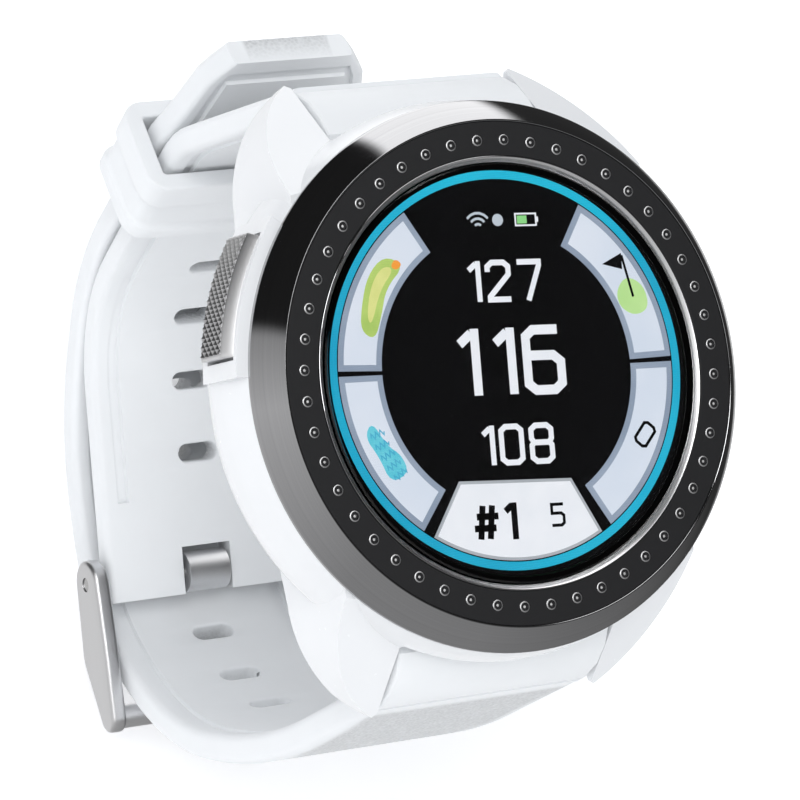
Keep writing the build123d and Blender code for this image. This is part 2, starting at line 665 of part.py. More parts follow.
with BuildPart() as case_back:
    with BuildSketch():
        Circle(BACK_PAD_R)
    extrude(amount=BACK_FLANGE_Z)
    with BuildSketch(Plane.XY.offset(BACK_FLANGE_Z)):
        Circle(BACK_R)
    extrude(amount=LEDGE_Z - BACK_FLANGE_Z)
    with BuildSketch(Plane.XY.offset(LEDGE_Z)):
        Circle(LEDGE_R - PLAY)
    extrude(amount=BACK_PLUG_T)
    chamfer(case_back.edges().group_by(Axis.Z)[0], length=BACK_CHAMFER)
    with BuildSketch(Plane.XY.offset(LEDGE_Z - SEAL_T)):
        Circle(SEAL_IN_R + SEAL_W)
        Circle(SEAL_IN_R, mode=Mode.SUBTRACT)
    extrude(amount=SEAL_T, mode=Mode.SUBTRACT)
    with BuildSketch():
        with CONTACTS:
            Circle(CONTACT_R)
    extrude(amount=CAVITY_Z, mode=Mode.SUBTRACT)
    with BuildSketch(Plane.XY.offset(LEDGE_Z + BACK_PLUG_T - MAGNET_T)):
        with MAGNETS:
            Circle(MAGNET_R)
    extrude(amount=MAGNET_T, mode=Mode.SUBTRACT)
    with BuildSketch(Plane.XY.offset(BACK_FLANGE_Z)):
        with BACK_SCREWS:
            Circle(BACK_SCREW_HEAD_R + FIT_GAP)
    extrude(amount=BACK_SCREW_HEAD_T, mode=Mode.SUBTRACT)
    with BuildSketch(Plane.XY.offset(BACK_FLANGE_Z)):
        with BACK_SCREWS:
            Circle(BACK_SCREW_R + FIT_GAP)
    extrude(amount=LEDGE_Z - BACK_FLANGE_Z, mode=Mode.SUBTRACT)
save(case_back.part, "case_back")

ring("back_seal", SEAL_IN_R, SEAL_IN_R + SEAL_W, LEDGE_Z - SEAL_T, LEDGE_Z)

with BuildPart() as back_screws:
    with BuildSketch(Plane.XY.offset(BACK_FLANGE_Z)):
        with BACK_SCREWS:
            Circle(BACK_SCREW_HEAD_R)
    extrude(amount=BACK_SCREW_HEAD_T)
    with BuildSketch(Plane.XY.offset(BACK_FLANGE_Z)):
        with BACK_SCREWS:
            Circle(BACK_SCREW_R)
    extrude(amount=CAVITY_Z - BACK_FLANGE_Z - BACK_SCREW_END_GAP)
    with BuildSketch(Plane.XY.offset(BACK_FLANGE_Z)):
        with BACK_SCREWS:
            Rectangle(CROSS_SLOT_L, CROSS_SLOT_W)
            Rectangle(CROSS_SLOT_W, CROSS_SLOT_L)
    extrude(amount=BACK_SCREW_HEAD_T / 2, mode=Mode.SUBTRACT)
save(back_screws.part, "back_screws")

with BuildPart() as charge_contacts:
    with BuildSketch(Plane.XY.offset(CONTACT_SINK)):
        with CONTACTS:
            Circle(CONTACT_R)
    extrude(amount=LEDGE_Z + BACK_PLUG_T - CONTACT_SINK)
save(charge_contacts.part, "charge_contacts")

with BuildPart() as charge_magnets:
    with BuildSketch(Plane.XY.offset(LEDGE_Z + BACK_PLUG_T - MAGNET_T)):
        with MAGNETS:
            Circle(MAGNET_R)
    extrude(amount=MAGNET_T)
save(charge_magnets.part, "charge_magnets")

# ================================================================ side button
with BuildPart() as button_cap:
    with BuildSketch(Plane.XY.offset(BUTTON_LOW_Z)):
        add(sector(BUTTON_R - BUTTON_T, BUTTON_R, BUTTON_SPAN))
    extrude(amount=BUTTON_HIGH_Z - BUTTON_LOW_Z)
    rim = button_cap.edges().filter_by(GeomType.CIRCLE)
    front = [e for e in rim if abs(e.radius - BUTTON_R) < 0.01 and e.center().Z > BUTTON_Z]
    chamfer(front, length=BUTTON_CHAMFER)
    for across in (-STEM_OFFSET, STEM_OFFSET):
        with BuildSketch(press_plane(POCKET_R, across)):
            Circle(STEM_R)
        extrude(amount=STEM_END - POCKET_R, mode=Mode.SUBTRACT)
save(button_cap.part, "button_cap")

with BuildPart() as button_stems:
    for across in (-STEM_OFFSET, STEM_OFFSET):
        with BuildSketch(press_plane(YOKE_OUT, across)):
            Circle(STEM_R)
        extrude(amount=STEM_END - YOKE_OUT)
save(button_stems.part, "button_stems")

with BuildPart() as button_yoke:
    with BuildSketch(press_plane(YOKE_IN)):
        RectangleRounded(2 * (STEM_OFFSET + YOKE_END), YOKE_H, YOKE_ROUND)
    extrude(amount=YOKE_T)
save(button_yoke.part, "button_yoke")

with BuildPart() as button_seals:
    for across in (-STEM_OFFSET, STEM_OFFSET):
        with Locations(press_plane(ORING_SEAT, across)):
            Torus(STEM_R + ORING_R + ORING_PLAY / 2, ORING_R)
save(button_seals.part, "button_seals")

SPRING_L = BUTTON_R - BUTTON_T - SPRING_HEAD_GAP - SPRING_SEAT
with BuildPart() as button_springs:
    for across in (-STEM_OFFSET, STEM_OFFSET):
        base = press_plane(SPRING_SEAT + SPRING_WIRE_R, across)
        with BuildLine() as coil:
            Helix(
                pitch=(SPRING_L - 2 * SPRING_WIRE_R) / SPRING_TURNS,
                height=SPRING_L - 2 * SPRING_WIRE_R,
                radius=SPRING_R,
                center=base.origin,
                direction=base.z_dir,
            )
        with BuildSketch(Plane(origin=coil.line @ 0, z_dir=coil.line % 0)):
            Circle(SPRING_WIRE_R)
        sweep(path=coil.line)
save(button_springs.part, "button_springs")

PLUNGER_OUT = YOKE_IN - YOKE_REST
SWITCH_OUT = PLUNGER_OUT - PLUNGER_L

with BuildPart() as tact_switch:
    with BuildSketch(press_plane(SWITCH_OUT - SWITCH_T)):
        Rectangle(SWITCH_L, SWITCH_H)
    extrude(amount=SWITCH_T)
    with BuildSketch(press_plane(SWITCH_OUT - PLUNGER_BORE_L)):
        Circle(PLUNGER_R + FIT_GAP)
    extrude(amount=PLUNGER_BORE_L, mode=Mode.SUBTRACT)
save(tact_switch.part, "tact_switch")

with BuildPart() as switch_plunger:
    with BuildSketch(press_plane(SWITCH_OUT - PLUNGER_IN)):
        Circle(PLUNGER_R)
    extrude(amount=PLUNGER_L + PLUNGER_IN)
save(switch_plunger.part, "switch_plunger")


# ================================================================ straps
def centre_line(route, bends):
    """Straight runs joined by tangent arcs, in the YZ plane."""
    with BuildLine(Plane.YZ) as line:
        FilletPolyline(*route, radius=bends)
    return line.line.wires()[0]


def band(route, bends, thickness, width):
    """A flat strip of one thickness and width, bent along a route."""
    with BuildPart() as strip:
        with BuildSketch(Plane.YZ):
            with BuildLine():
                FilletPolyline(*route, radius=bends)
                offset(amount=thickness / 2, side=Side.BOTH, kind=Kind.TANGENT)
            make_face()
        extrude(amount=width / 2, both=True)
    return strip.part


def across_plane(wire, distance):
    """Plane at a distance along a strap, facing out of its flat side."""
    share = distance / wire.length
    spot = wire.position_at(share)
    along = wire.tangent_at(share)
    return Plane(origin=spot, x_dir=(1, 0, 0), z_dir=along.cross(Vector(1, 0, 0)))


def knuckle(side):
    """The strap end that fills the recess between two lugs: side is 1 for 12 o'clock, -1 for 6."""
    wall_y = RECESS_Y + KNUCKLE_GAP
    outline = [(wall_y, BAR_Z + KNUCKLE_BOTTOM), (wall_y, BAR_Z + KNUCKLE_TOP)]
    outline += [(BAR_Y + away, BAR_Z + up) for away, up in KNUCKLE]
    with BuildPart() as end:
        with BuildSketch(Plane.YZ.offset(-HALF_W)):
            with BuildLine():
                Polyline(*[(side * y, z) for y, z in outline], close=True)
            make_face()
        extrude(amount=STRAP_W)
    return end.part


def bar_cuts(side):
    """Bore for a spring bar, and the slot that its release knob slides in."""
    with BuildPart() as cuts:
        with BuildSketch(Plane.YZ):
            with Locations((side * BAR_Y, BAR_Z)):
                Circle(BAR_R + FIT_GAP)
        extrude(amount=STRAP_W, both=True)
        with BuildSketch(Plane.XY.offset(BAR_Z)):
            with Locations((-HALF_W + KNOB_INSET + RELEASE / 2, side * BAR_Y)):
                Rectangle(2 * (KNOB_R + KNOB_SLOT_PLAY) + RELEASE, 2 * KNOB_R + KNOB_SLOT_PLAY)
        extrude(amount=-KNUCKLE_TOP - BAR_R)
    return cuts.part


upper_line = centre_line(UPPER_ROUTE, UPPER_BENDS)
lower_line = centre_line(LOWER_ROUTE, LOWER_BENDS)

# the tongue goes straight through the lower strap where that passes closest to the buckle's bar
buckle_axis = Vector(0, HINGE_Y, HINGE_Z)
tongue_spot = lower_line.closest_points(buckle_axis)[0]
TONGUE_PLACE = lower_line.param_at_point(tongue_spot) * lower_line.length
FIRST_SLOT = TONGUE_PLACE + TONGUE_IN_SLOT - SLOTS_BEFORE_TONGUE * SLOT_PITCH

with BuildPart() as upper_strap:
    add(band(UPPER_ROUTE, UPPER_BENDS, UPPER_T, STRAP_W))
    add(knuckle(1))
    add(bar_cuts(1), mode=Mode.SUBTRACT)
    for index in range(UPPER_SLOTS):
        with BuildSketch(across_plane(upper_line, FIRST_UPPER_SLOT + index * UPPER_SLOT_PITCH)):
            SlotOverall(SLOT_L, SLOT_W)
        extrude(amount=UPPER_T, both=True, mode=Mode.SUBTRACT)
    # notch for the tongue and bore for the buckle's bar
    with BuildSketch(Plane.XY.offset(HINGE_Z - UPPER_T)):
        with Locations((0, HINGE_Y)):
            Rectangle(NOTCH_W, NOTCH_L)
    extrude(amount=2 * UPPER_T, mode=Mode.SUBTRACT)
    with BuildSketch(Plane.YZ):
        with Locations((HINGE_Y, HINGE_Z)):
            Circle(HINGE_R + FIT_GAP)
    extrude(amount=STRAP_W, both=True, mode=Mode.SUBTRACT)
save(upper_strap.part, "upper_strap")

with BuildPart() as lower_strap:
    add(band(LOWER_ROUTE, LOWER_BENDS, LOWER_T, STRAP_W))
    add(knuckle(-1))
    add(bar_cuts(-1), mode=Mode.SUBTRACT)
    for index in range(LOWER_SLOTS):
        with BuildSketch(across_plane(lower_line, FIRST_SLOT + index * SLOT_PITCH)):
            SlotOverall(SLOT_L, SLOT_W)
        extrude(amount=LOWER_T, both=True, mode=Mode.SUBTRACT)
    # tapered tip: the strip ends half its thickness past its centre line
    tip_end = -LOWER_T / 2
    clear_x = STRAP_W
    clear_y = tip_end - LOWER_T
    with BuildSketch(across_plane(lower_line, lower_line.length)):
        for side in (1, -1):
            with BuildLine():
                Polyline(
                    (side * TIP_END_W / 2, clear_y),
                    (side * TIP_END_W / 2, tip_end),
                    (side * TIP_SHOULDER_W / 2, tip_end + TIP_SHOULDER),
                    (side * HALF_W, tip_end + TIP_SHOULDER + TIP_TAPER),
                    (side * clear_x, tip_end + TIP_SHOULDER + TIP_TAPER),
                    (side * clear_x, clear_y),
                    close=True,
                )
            make_face()
    extrude(amount=2 * LOWER_T, both=True, mode=Mode.SUBTRACT)
save(lower_strap.part, "lower_strap")


# ================================================================ spring bars
def spring_bar(side, name):
    """A quick-release bar: tube with a fixed tip on the right and a sprung tip with a knob on the left."""
    tube_end = HALF_W - BAR_END_GAP
    tip_end = LUG_IN + BAR_TIP_REACH
    bore_r = BAR_R - BAR_WALL
    spot = (side * BAR_Y, BAR_Z)
    knob_x = -HALF_W + KNOB_INSET
    stop_x = knob_x + KNOB_R + RELEASE + BAR_SPRING_L

    with BuildPart() as tube:
        with BuildSketch(Plane.YZ.offset(-tube_end)):
            with Locations(spot):
                Circle(BAR_R)
        extrude(amount=2 * tube_end)
        with BuildSketch(Plane.YZ.offset(tube_end)):
            with Locations(spot):
                Circle(BAR_TIP_R)
        extrude(amount=tip_end - tube_end)
        with BuildSketch(Plane.YZ.offset(-tube_end)):
            with Locations(spot):
                Circle(bore_r)
        extrude(amount=stop_x + tube_end, mode=Mode.SUBTRACT)
        with BuildSketch(Plane.XY.offset(BAR_Z)):
            with Locations((knob_x + RELEASE / 2, side * BAR_Y)):
                Rectangle(2 * (KNOB_R + TUBE_SLOT_PLAY) + RELEASE, 2 * (KNOB_R + FIT_GAP))
        extrude(amount=-2 * BAR_R, mode=Mode.SUBTRACT)
    save(tube.part, f"{name}_bar")

    with BuildPart() as plunger:
        with BuildSketch(Plane.YZ.offset(-tip_end)):
            with Locations(spot):
                Circle(BAR_TIP_R)
        extrude(amount=tip_end + knob_x - KNOB_R)
        with BuildSketch(Plane.YZ.offset(knob_x - KNOB_R - PLUNGER_LEAD)):
            with Locations(spot):
                Circle(bore_r - FIT_GAP)
        extrude(amount=2 * KNOB_R + PLUNGER_LEAD + PLUNGER_TAIL)
        with BuildSketch(Plane.XY.offset(BAR_Z)):
            with Locations((knob_x, side * BAR_Y)):
                Circle(KNOB_R - FIT_GAP)
        extrude(amount=-KNOB_L)
    save(plunger.part, f"{name}_bar_plunger")

    with BuildPart() as spring:
        start = knob_x + KNOB_R + PLUNGER_TAIL + BAR_WIRE_R
        length = stop_x - start - BAR_WIRE_R - ORING_PLAY
        with BuildLine() as coil:
            Helix(
                pitch=length / BAR_SPRING_TURNS,
                height=length,
                radius=bore_r - BAR_WIRE_R - FIT_GAP / 2,
                center=(start, side * BAR_Y, BAR_Z),
                direction=(1, 0, 0),
            )
        with BuildSketch(Plane(origin=coil.line @ 0, z_dir=coil.line % 0)):
            Circle(BAR_WIRE_R)
        sweep(path=coil.line)
    save(spring.part, f"{name}_bar_spring")


spring_bar(1, "upper")
spring_bar(-1, "lower")

# ================================================================ keeper
lean = math.radians(KEEPER_LEAN)
mouth = Plane(origin=(0, KEEPER_Y, KEEPER_Z), x_dir=(1, 0, 0), z_dir=(0, math.sin(lean), math.cos(lean)))
KEEPER_W = KEEPER_GAP_W + 2 * KEEPER_WALL
KEEPER_H = KEEPER_GAP_H + 2 * KEEPER_WALL

with BuildPart() as keeper:
    with BuildSketch(mouth):
        RectangleRounded(KEEPER_W, KEEPER_H, KEEPER_ROUND)
    extrude(amount=-KEEPER_L)
    with BuildSketch(mouth.offset(-KEEPER_LIP)):
        Rectangle(2 * KEEPER_W, 2 * KEEPER_H)
        RectangleRounded(
            KEEPER_W - 2 * KEEPER_BAND_DEPTH,
            KEEPER_H - 2 * KEEPER_BAND_DEPTH,
            KEEPER_BAND_ROUND,
            mode=Mode.SUBTRACT,
        )
    extrude(amount=-(KEEPER_L - KEEPER_LIP - KEEPER_RIM), mode=Mode.SUBTRACT)
    with BuildSketch(mouth):
        RectangleRounded(KEEPER_GAP_W, KEEPER_GAP_H, KEEPER_GAP_ROUND)
    extrude(amount=-KEEPER_L, mode=Mode.SUBTRACT)
save(keeper.part, "keeper")

# ================================================================ buckle
ARM_IN = HALF_W + ARM_GAP
ARM_OUT = ARM_IN + ARM_T
ARM_ROUNDS = [
    ((HINGE_Y, HINGE_Z), ARM_EYE_R),
    (ARM_MIDDLE, ARM_MIDDLE_R),
    ((CROSS_Y, CROSS_Z), ARM_CROSS_R),
]

with BuildPart() as buckle_frame:
    for side in (1, -1):
        with BuildSketch(Plane.YZ.offset(ARM_IN if side > 0 else -ARM_OUT)):
            with BuildLine():
                for spot, radius in ARM_ROUNDS:
                    CenterArc(spot, radius, 0, 360)
            make_hull()
            with Locations((HINGE_Y, HINGE_Z)):
                Circle(HINGE_R + FIT_GAP, mode=Mode.SUBTRACT)
        extrude(amount=ARM_T)
    with BuildSketch(Plane.YZ.offset(-ARM_OUT)):
        with Locations((CROSS_Y, CROSS_Z)):
            Circle(CROSS_R)
    extrude(amount=2 * ARM_OUT)
save(buckle_frame.part, "buckle_frame")

with BuildPart() as buckle_bar:
    with BuildSketch(Plane.YZ.offset(-ARM_OUT + BAR_END_INSET)):
        with Locations((HINGE_Y, HINGE_Z)):
            Circle(HINGE_R)
    extrude(amount=2 * (ARM_OUT - BAR_END_INSET))
save(buckle_bar.part, "buckle_bar")

# the tongue leaves its eye, goes through the strap square to it, and lies over the crossbar
through = (tongue_spot - buckle_axis).normalized()
tongue_root = buckle_axis + through * TONGUE_ROOT
tongue_turn = tongue_spot + through * (LOWER_T / 2 + TONGUE_OVER)
hook_lean = math.radians(TONGUE_LEAN)
hook_along = Vector(0, -math.cos(hook_lean), math.sin(hook_lean))
hook_out = Vector(0, -math.sin(hook_lean), -math.cos(hook_lean))
hook_middle = Vector(0, CROSS_Y, CROSS_Z) + hook_out * (CROSS_R + TONGUE_T / 2 + TONGUE_REST)
hook_start = hook_middle - hook_along * TONGUE_REACH
hook_end = hook_middle + hook_along * TONGUE_PAST
TONGUE_ROUTE = [(spot.Y, spot.Z) for spot in (tongue_root, tongue_turn, hook_start, hook_end)]
with BuildPart() as buckle_tongue:
    with BuildSketch(Plane.YZ):
        with Locations((HINGE_Y, HINGE_Z)):
            Circle(TONGUE_EYE_R)
    extrude(amount=TONGUE_EYE_W / 2, both=True)
    add(band(TONGUE_ROUTE, TONGUE_BENDS, TONGUE_T, TONGUE_W))
    with BuildSketch(Plane.YZ):
        with Locations((HINGE_Y, HINGE_Z)):
            Circle(HINGE_R + FIT_GAP)
    extrude(amount=TONGUE_EYE_W, both=True, mode=Mode.SUBTRACT)
save(buckle_tongue.part, "buckle_tongue")
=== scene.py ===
"""Golf GPS watch: the finished look of its straps, keeper, bezel, display, button and case.

Sizes are millimetres in the values below and metres in the meshes.
+Z leaves the face, +Y points to 12 o'clock.
"""

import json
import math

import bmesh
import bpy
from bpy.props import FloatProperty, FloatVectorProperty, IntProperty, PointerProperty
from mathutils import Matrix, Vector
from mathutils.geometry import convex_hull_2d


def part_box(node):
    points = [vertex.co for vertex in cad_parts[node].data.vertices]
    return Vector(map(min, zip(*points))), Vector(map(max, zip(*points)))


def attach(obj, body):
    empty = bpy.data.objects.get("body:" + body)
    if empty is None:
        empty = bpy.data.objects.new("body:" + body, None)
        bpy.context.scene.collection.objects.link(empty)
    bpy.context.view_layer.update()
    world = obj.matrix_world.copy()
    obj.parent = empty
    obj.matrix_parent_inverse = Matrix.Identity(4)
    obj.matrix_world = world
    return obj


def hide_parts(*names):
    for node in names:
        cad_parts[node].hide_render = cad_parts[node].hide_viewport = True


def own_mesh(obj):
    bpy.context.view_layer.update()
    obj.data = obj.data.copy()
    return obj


bl_info = {
    "name": "Golf GPS watch",
    "version": (1, 0, 0),
    "blender": (4, 5, 0),
    "location": "3D View > Sidebar > Watch",
    "description": "Builds the visible pieces of a golf GPS watch around its packed frame",
    "category": "Add Mesh",
}

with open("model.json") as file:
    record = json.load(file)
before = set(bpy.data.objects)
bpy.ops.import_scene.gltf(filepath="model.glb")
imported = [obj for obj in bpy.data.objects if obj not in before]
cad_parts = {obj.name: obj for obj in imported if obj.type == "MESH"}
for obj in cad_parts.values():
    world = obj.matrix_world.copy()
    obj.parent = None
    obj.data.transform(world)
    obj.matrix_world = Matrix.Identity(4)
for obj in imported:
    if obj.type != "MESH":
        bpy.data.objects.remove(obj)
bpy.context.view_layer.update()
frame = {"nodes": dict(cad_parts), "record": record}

MM = 0.001
WATCH = "watch"


def span(node):
    """Lowest and highest corners of a node, in millimetres."""
    low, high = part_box(node)
    return Vector(low) / MM, Vector(high) / MM


# ---------------------------------------------------------------- places from the frame
BEZEL_HIGH = span("bezel_ring")[1]
PANEL_LOW, PANEL_HIGH = span("display_panel")
CAP_LOW, CAP_HIGH = span("button_cap")
UPPER_LOW, UPPER_HIGH = span("upper_strap")

HEAD_TOP = BEZEL_HIGH.z
BEZEL_R = BEZEL_HIGH.x
INSERT_R = span("bezel_insert")[1].x
LENS_R = span("lens")[1].x
PANEL_R = PANEL_HIGH.x
STRAP_W = UPPER_HIGH.x - UPPER_LOW.x
FLOOR_Z = span("lower_strap")[0].z

# ---------------------------------------------------------------- straps
UPPER_ROUTE = [(24.65, 0.1), (24.75, -23.3), (12.8, -46.6), (-12.6, -49.7)]
UPPER_BENDS = [9.0, 14.0]
UPPER_T = 2.4
LOWER_ROUTE = [
    (-24.4, -0.6),
    (-28.77, -22.72),
    (-26.35, -42.76),
    (-13.94, -54.3),
    (2.27, -54.3),
    (16.9, -45.6),
    (26.97, -25.1),
    (30.87, -19.37),
]
LOWER_BENDS = [60.0, 26.0, 17.0, 27.5, 22.0, 30.0]
LOWER_T = 2.6
SLOT_L = 3.9
SLOT_W = 1.7
UPPER_SLOTS = 4
UPPER_SLOT_PITCH = 6.7
UPPER_FIRST_SLOT = 42.1
LOWER_SLOTS = 10
LOWER_SLOT_PITCH = 6.4
LOWER_FIRST_SLOT = 39.66
CUTS_PER_PITCH = 5
CUTS_FROM = 0.5
SLOT_ROUND = 0.25
GROOVE_IN = 7.4          # groove on the inner side, from the strap's middle
GROOVE_OUT = 8.5
GROOVE_DEPTH = 0.3
GROOVE_WALL = 0.15
GRAIN_EDGE = 6.6         # grain on the outer side, from the strap's middle
GRAIN_FROM = 2.0         # from the strap's start
FACET_START = 0.6        # smooth border beside the grain, at the lug
FACET_GAIN = 2.4         # how much wider that border gets over its length
FACET_L = 40.0
FACET_FADE = 0.4
UPPER_GROOVE = 4.0
UPPER_GROOVE_END = 9.0
LOWER_GROOVE = 6.0
TIP_GROOVE = 1.2
TIP_END_W = 11.6
TIP_SHOULDER_W = 15.4
TIP_SHOULDER = 2.2
TIP_TAPER = 8.0
TIP_RIM = 1.4
BAR_Y = 22.5
BAR_Z = 1.5
RECESS_Y = 20.1
HINGE = Vector((-11.9, -49.62))
NOTCH_W = 4.9
NOTCH_L = 4.9

# ---------------------------------------------------------------- buckle
ARM_GAP = 0.4
ARM_T = 1.5
ARM_ROUND = 0.4
HINGE_R = 0.65
CROSS = Vector((-24.2, -49.0))
CROSS_R = 1.1
ARM_ROUNDS = [(HINGE, 2.2), (Vector((-18.5, -49.9)), 2.5), (CROSS, 1.35)]

# ---------------------------------------------------------------- keeper
KEEPER_MOUTH = (25.09, -26.04)
KEEPER_LEAN = 27.2
KEEPER_GAP_W = 20.9
KEEPER_GAP_H = 6.1
KEEPER_WALL = 1.7
KEEPER_L = 7.7
KEEPER_LIP = 2.9
KEEPER_RIM = 1.3

# ---------------------------------------------------------------- bezel
RING_H = 2.8
LENS_GAP = 0.07
WELL_W = 2.85            # the insert's seat
WELL_DEPTH = 0.55
LIP_W = 0.4              # polished slope beside the lens

# ---------------------------------------------------------------- face
STUD_RING_R = 18.9
STUD_PHASE = 1.35
STUD_R = 0.45
FACE_TURN = -3.75        # degrees that the display's picture is turned
FACE_SHIFT = Vector((-0.27, 0.28))
SECTOR_IN = 11.5
SECTOR_OUT = 15.4
GLOW_IN = 15.5
GLOW_OUT = 16.2
PLATE_TOP = 8.9          # middle of the face to the bottom plate's straight edge

# ---------------------------------------------------------------- button
BUTTON_ANGLE = 158.0
BUTTON_SPAN = 25.0
BUTTON_R = 24.3
BUTTON_T = 1.1
BUTTON_CHAMFER = 0.8
KNURL_PITCH = 0.55
BUTTON_SPRING_SEAT = 20.8  # from the case's axis
BUTTON_SPRING_KEEP = 0.78
BAR_SPRING_KEEP = 0.66

# ---------------------------------------------------------------- camera
FOCAL = 203.6            # on a sensor 36 wide
EYE = (-0.1819, -0.0148, 0.3278)
EYE_RIGHT = (0.873, -0.137, 0.468)
EYE_BACK = (-0.477, -0.038, 0.878)


# ================================================================ helpers
def leave_edit():
    """Object mode with nothing selected."""
    if bpy.context.object and bpy.context.object.mode != "OBJECT":
        bpy.ops.object.mode_set(mode="OBJECT")
    bpy.ops.object.select_all(action="DESELECT")


def activate(piece):
    """Make one piece the only selected and active object."""
    leave_edit()
    piece.select_set(True)
    bpy.context.view_layer.objects.active = piece


def edit(piece, kind, wanted):
    """Enter edit mode with the chosen verts, edges or faces selected."""
    activate(piece)
    bpy.ops.object.mode_set(mode="EDIT")
    bpy.ops.mesh.select_mode(type=kind)
    bpy.ops.mesh.select_all(action="DESELECT")
    bpy.ops.object.mode_set(mode="OBJECT")
    mesh = piece.data
    if kind == "VERT":
        for vertex in mesh.vertices:
            vertex.select = wanted(vertex.co / MM)
    elif kind == "EDGE":
        for edge in mesh.edges:
            first, second = (mesh.vertices[index].co / MM for index in edge.vertices)
            edge.select = wanted(first, second)
    else:
        for face in mesh.polygons:
            face.select = wanted(face.center / MM, face.normal)
    bpy.ops.object.mode_set(mode="EDIT")


def edit_all(piece):
    """Enter edit mode with everything selected."""
    activate(piece)
    bpy.ops.object.mode_set(mode="EDIT")
    bpy.ops.mesh.select_mode(type="VERT")
    bpy.ops.mesh.select_all(action="SELECT")


def outwards():
    """Turn every normal outwards and leave edit mode."""
    bpy.ops.mesh.select_all(action="SELECT")
    bpy.ops.mesh.normals_make_consistent(inside=False)
    bpy.ops.object.mode_set(mode="OBJECT")


def fill(piece):
    """Enter edit mode and close an outline with one face."""
    edit_all(piece)
    bpy.ops.mesh.remove_doubles(threshold=0.001 * MM)
    bpy.ops.mesh.select_all(action="SELECT")
    bpy.ops.mesh.edge_face_add()


def extrude(step):
    """Extrude what is selected by a step in millimetres, and leave edit mode with normals outwards."""
    bpy.ops.mesh.extrude_region_move(TRANSFORM_OT_translate={"value": [value * MM for value in step]})
    outwards()


def face_up(piece):
    """Turn a flat sheet over if it faces down."""
    if piece.data.polygons[0].normal.z < 0:
        edit_all(piece)
        bpy.ops.mesh.flip_normals()
        bpy.ops.object.mode_set(mode="OBJECT")


def place(piece, matrix):
    """Put a piece where a matrix in millimetres says, with its place in its mesh."""
    activate(piece)
    piece.matrix_world = Matrix.Scale(MM, 4) @ matrix @ Matrix.Scale(1 / MM, 4)
    bpy.ops.object.transform_apply(location=True, rotation=True, scale=True)


def apply_modifiers(piece):
    """Apply every modifier in order."""
    activate(piece)
    for modifier in list(piece.modifiers):
        bpy.ops.object.modifier_apply(modifier=modifier.name)


def soften(piece, width, segments, degrees):
    """Round every edge sharper than an angle; the width is in metres."""
    bevel = piece.modifiers.new("soften", "BEVEL")
    bevel.width = width
    bevel.segments = segments
    bevel.limit_method = "ANGLE"
    bevel.angle_limit = math.radians(degrees)
    apply_modifiers(piece)


def slab(name, size, centre):
    """A block of a size at a centre, both in millimetres."""
    leave_edit()
    bpy.ops.mesh.primitive_cube_add(size=1, location=[value * MM for value in centre])
    piece = bpy.context.object
    piece.name = name
    piece.scale = [value * MM for value in size]
    activate(piece)
    bpy.ops.object.transform_apply(location=True, rotation=True, scale=True)
    return piece


def outline(name, points):
    """A closed chain of edges through points, extruded from its first vertex."""
    leave_edit()
    bpy.ops.mesh.primitive_plane_add(size=MM, location=[value * MM for value in points[0]])
    piece = bpy.context.object
    piece.name = name
    activate(piece)
    bpy.ops.object.transform_apply(location=True, rotation=True, scale=True)
    bpy.ops.object.mode_set(mode="EDIT")
    bpy.ops.mesh.select_mode(type="VERT")
    bpy.ops.mesh.select_all(action="SELECT")
    bpy.ops.mesh.merge(type="CENTER")
    for before, after in zip(points, points[1:]):
        step = [(b - a) * MM for a, b in zip(before, after)]
        bpy.ops.mesh.extrude_region_move(TRANSFORM_OT_translate={"value": step})
    bpy.ops.object.mode_set(mode="OBJECT")
    return piece


def spin(name, profile, steps, closed=True):
    """Turn a profile of (radius, height) points about the Z axis."""
    loop = [(radius, 0, height) for radius, height in profile]
    if closed:
        loop.append(loop[0])
    piece = outline(name, loop)
    edit_all(piece)
    bpy.ops.mesh.remove_doubles(threshold=0.0001 * MM)
    bpy.ops.mesh.spin(steps=steps, angle=math.tau, center=(0, 0, 0), axis=(0, 0, 1))
    bpy.ops.mesh.select_all(action="SELECT")
    bpy.ops.mesh.remove_doubles(threshold=0.001 * MM)
    outwards()
    return piece


def join(pieces):
    """Join meshes into the first one."""
    activate(pieces[0])
    for piece in pieces[1:]:
        piece.select_set(True)
    bpy.ops.object.join()
    return pieces[0]


def copy_of(piece, name, matrix):
    """A copy with its own mesh, moved by a matrix in millimetres."""
    twin = piece.copy()
    twin.data = piece.data.copy()
    twin.name = name
    bpy.context.collection.objects.link(twin)
    place(twin, matrix)
    return twin


def carve(piece, cutter, operation="DIFFERENCE"):
    """Boolean with another mesh, which is then removed."""
    activate(piece)
    boolean = piece.modifiers.new("carve", "BOOLEAN")
    boolean.operation = operation
    boolean.solver = "EXACT"
    boolean.object = cutter
    bpy.ops.object.modifier_apply(modifier=boolean.name)
    bpy.data.objects.remove(cutter, do_unlink=True)


def smooth(piece, degrees):
    """Smooth shading with a crease over an angle."""
    activate(piece)
    bpy.ops.object.shade_smooth_by_angle(angle=math.radians(degrees))


def finish_piece(piece, material, body, slot, nodes=(), crease=30):
    """Shade a piece, give it its material, tie it to its body, and hide its CAD nodes; the slot is not used.
    """
    smooth(piece, crease)
    if material:
        piece.data.materials.clear()
        piece.data.materials.append(material)
    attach(piece, body)
    if nodes:
        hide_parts(*nodes)


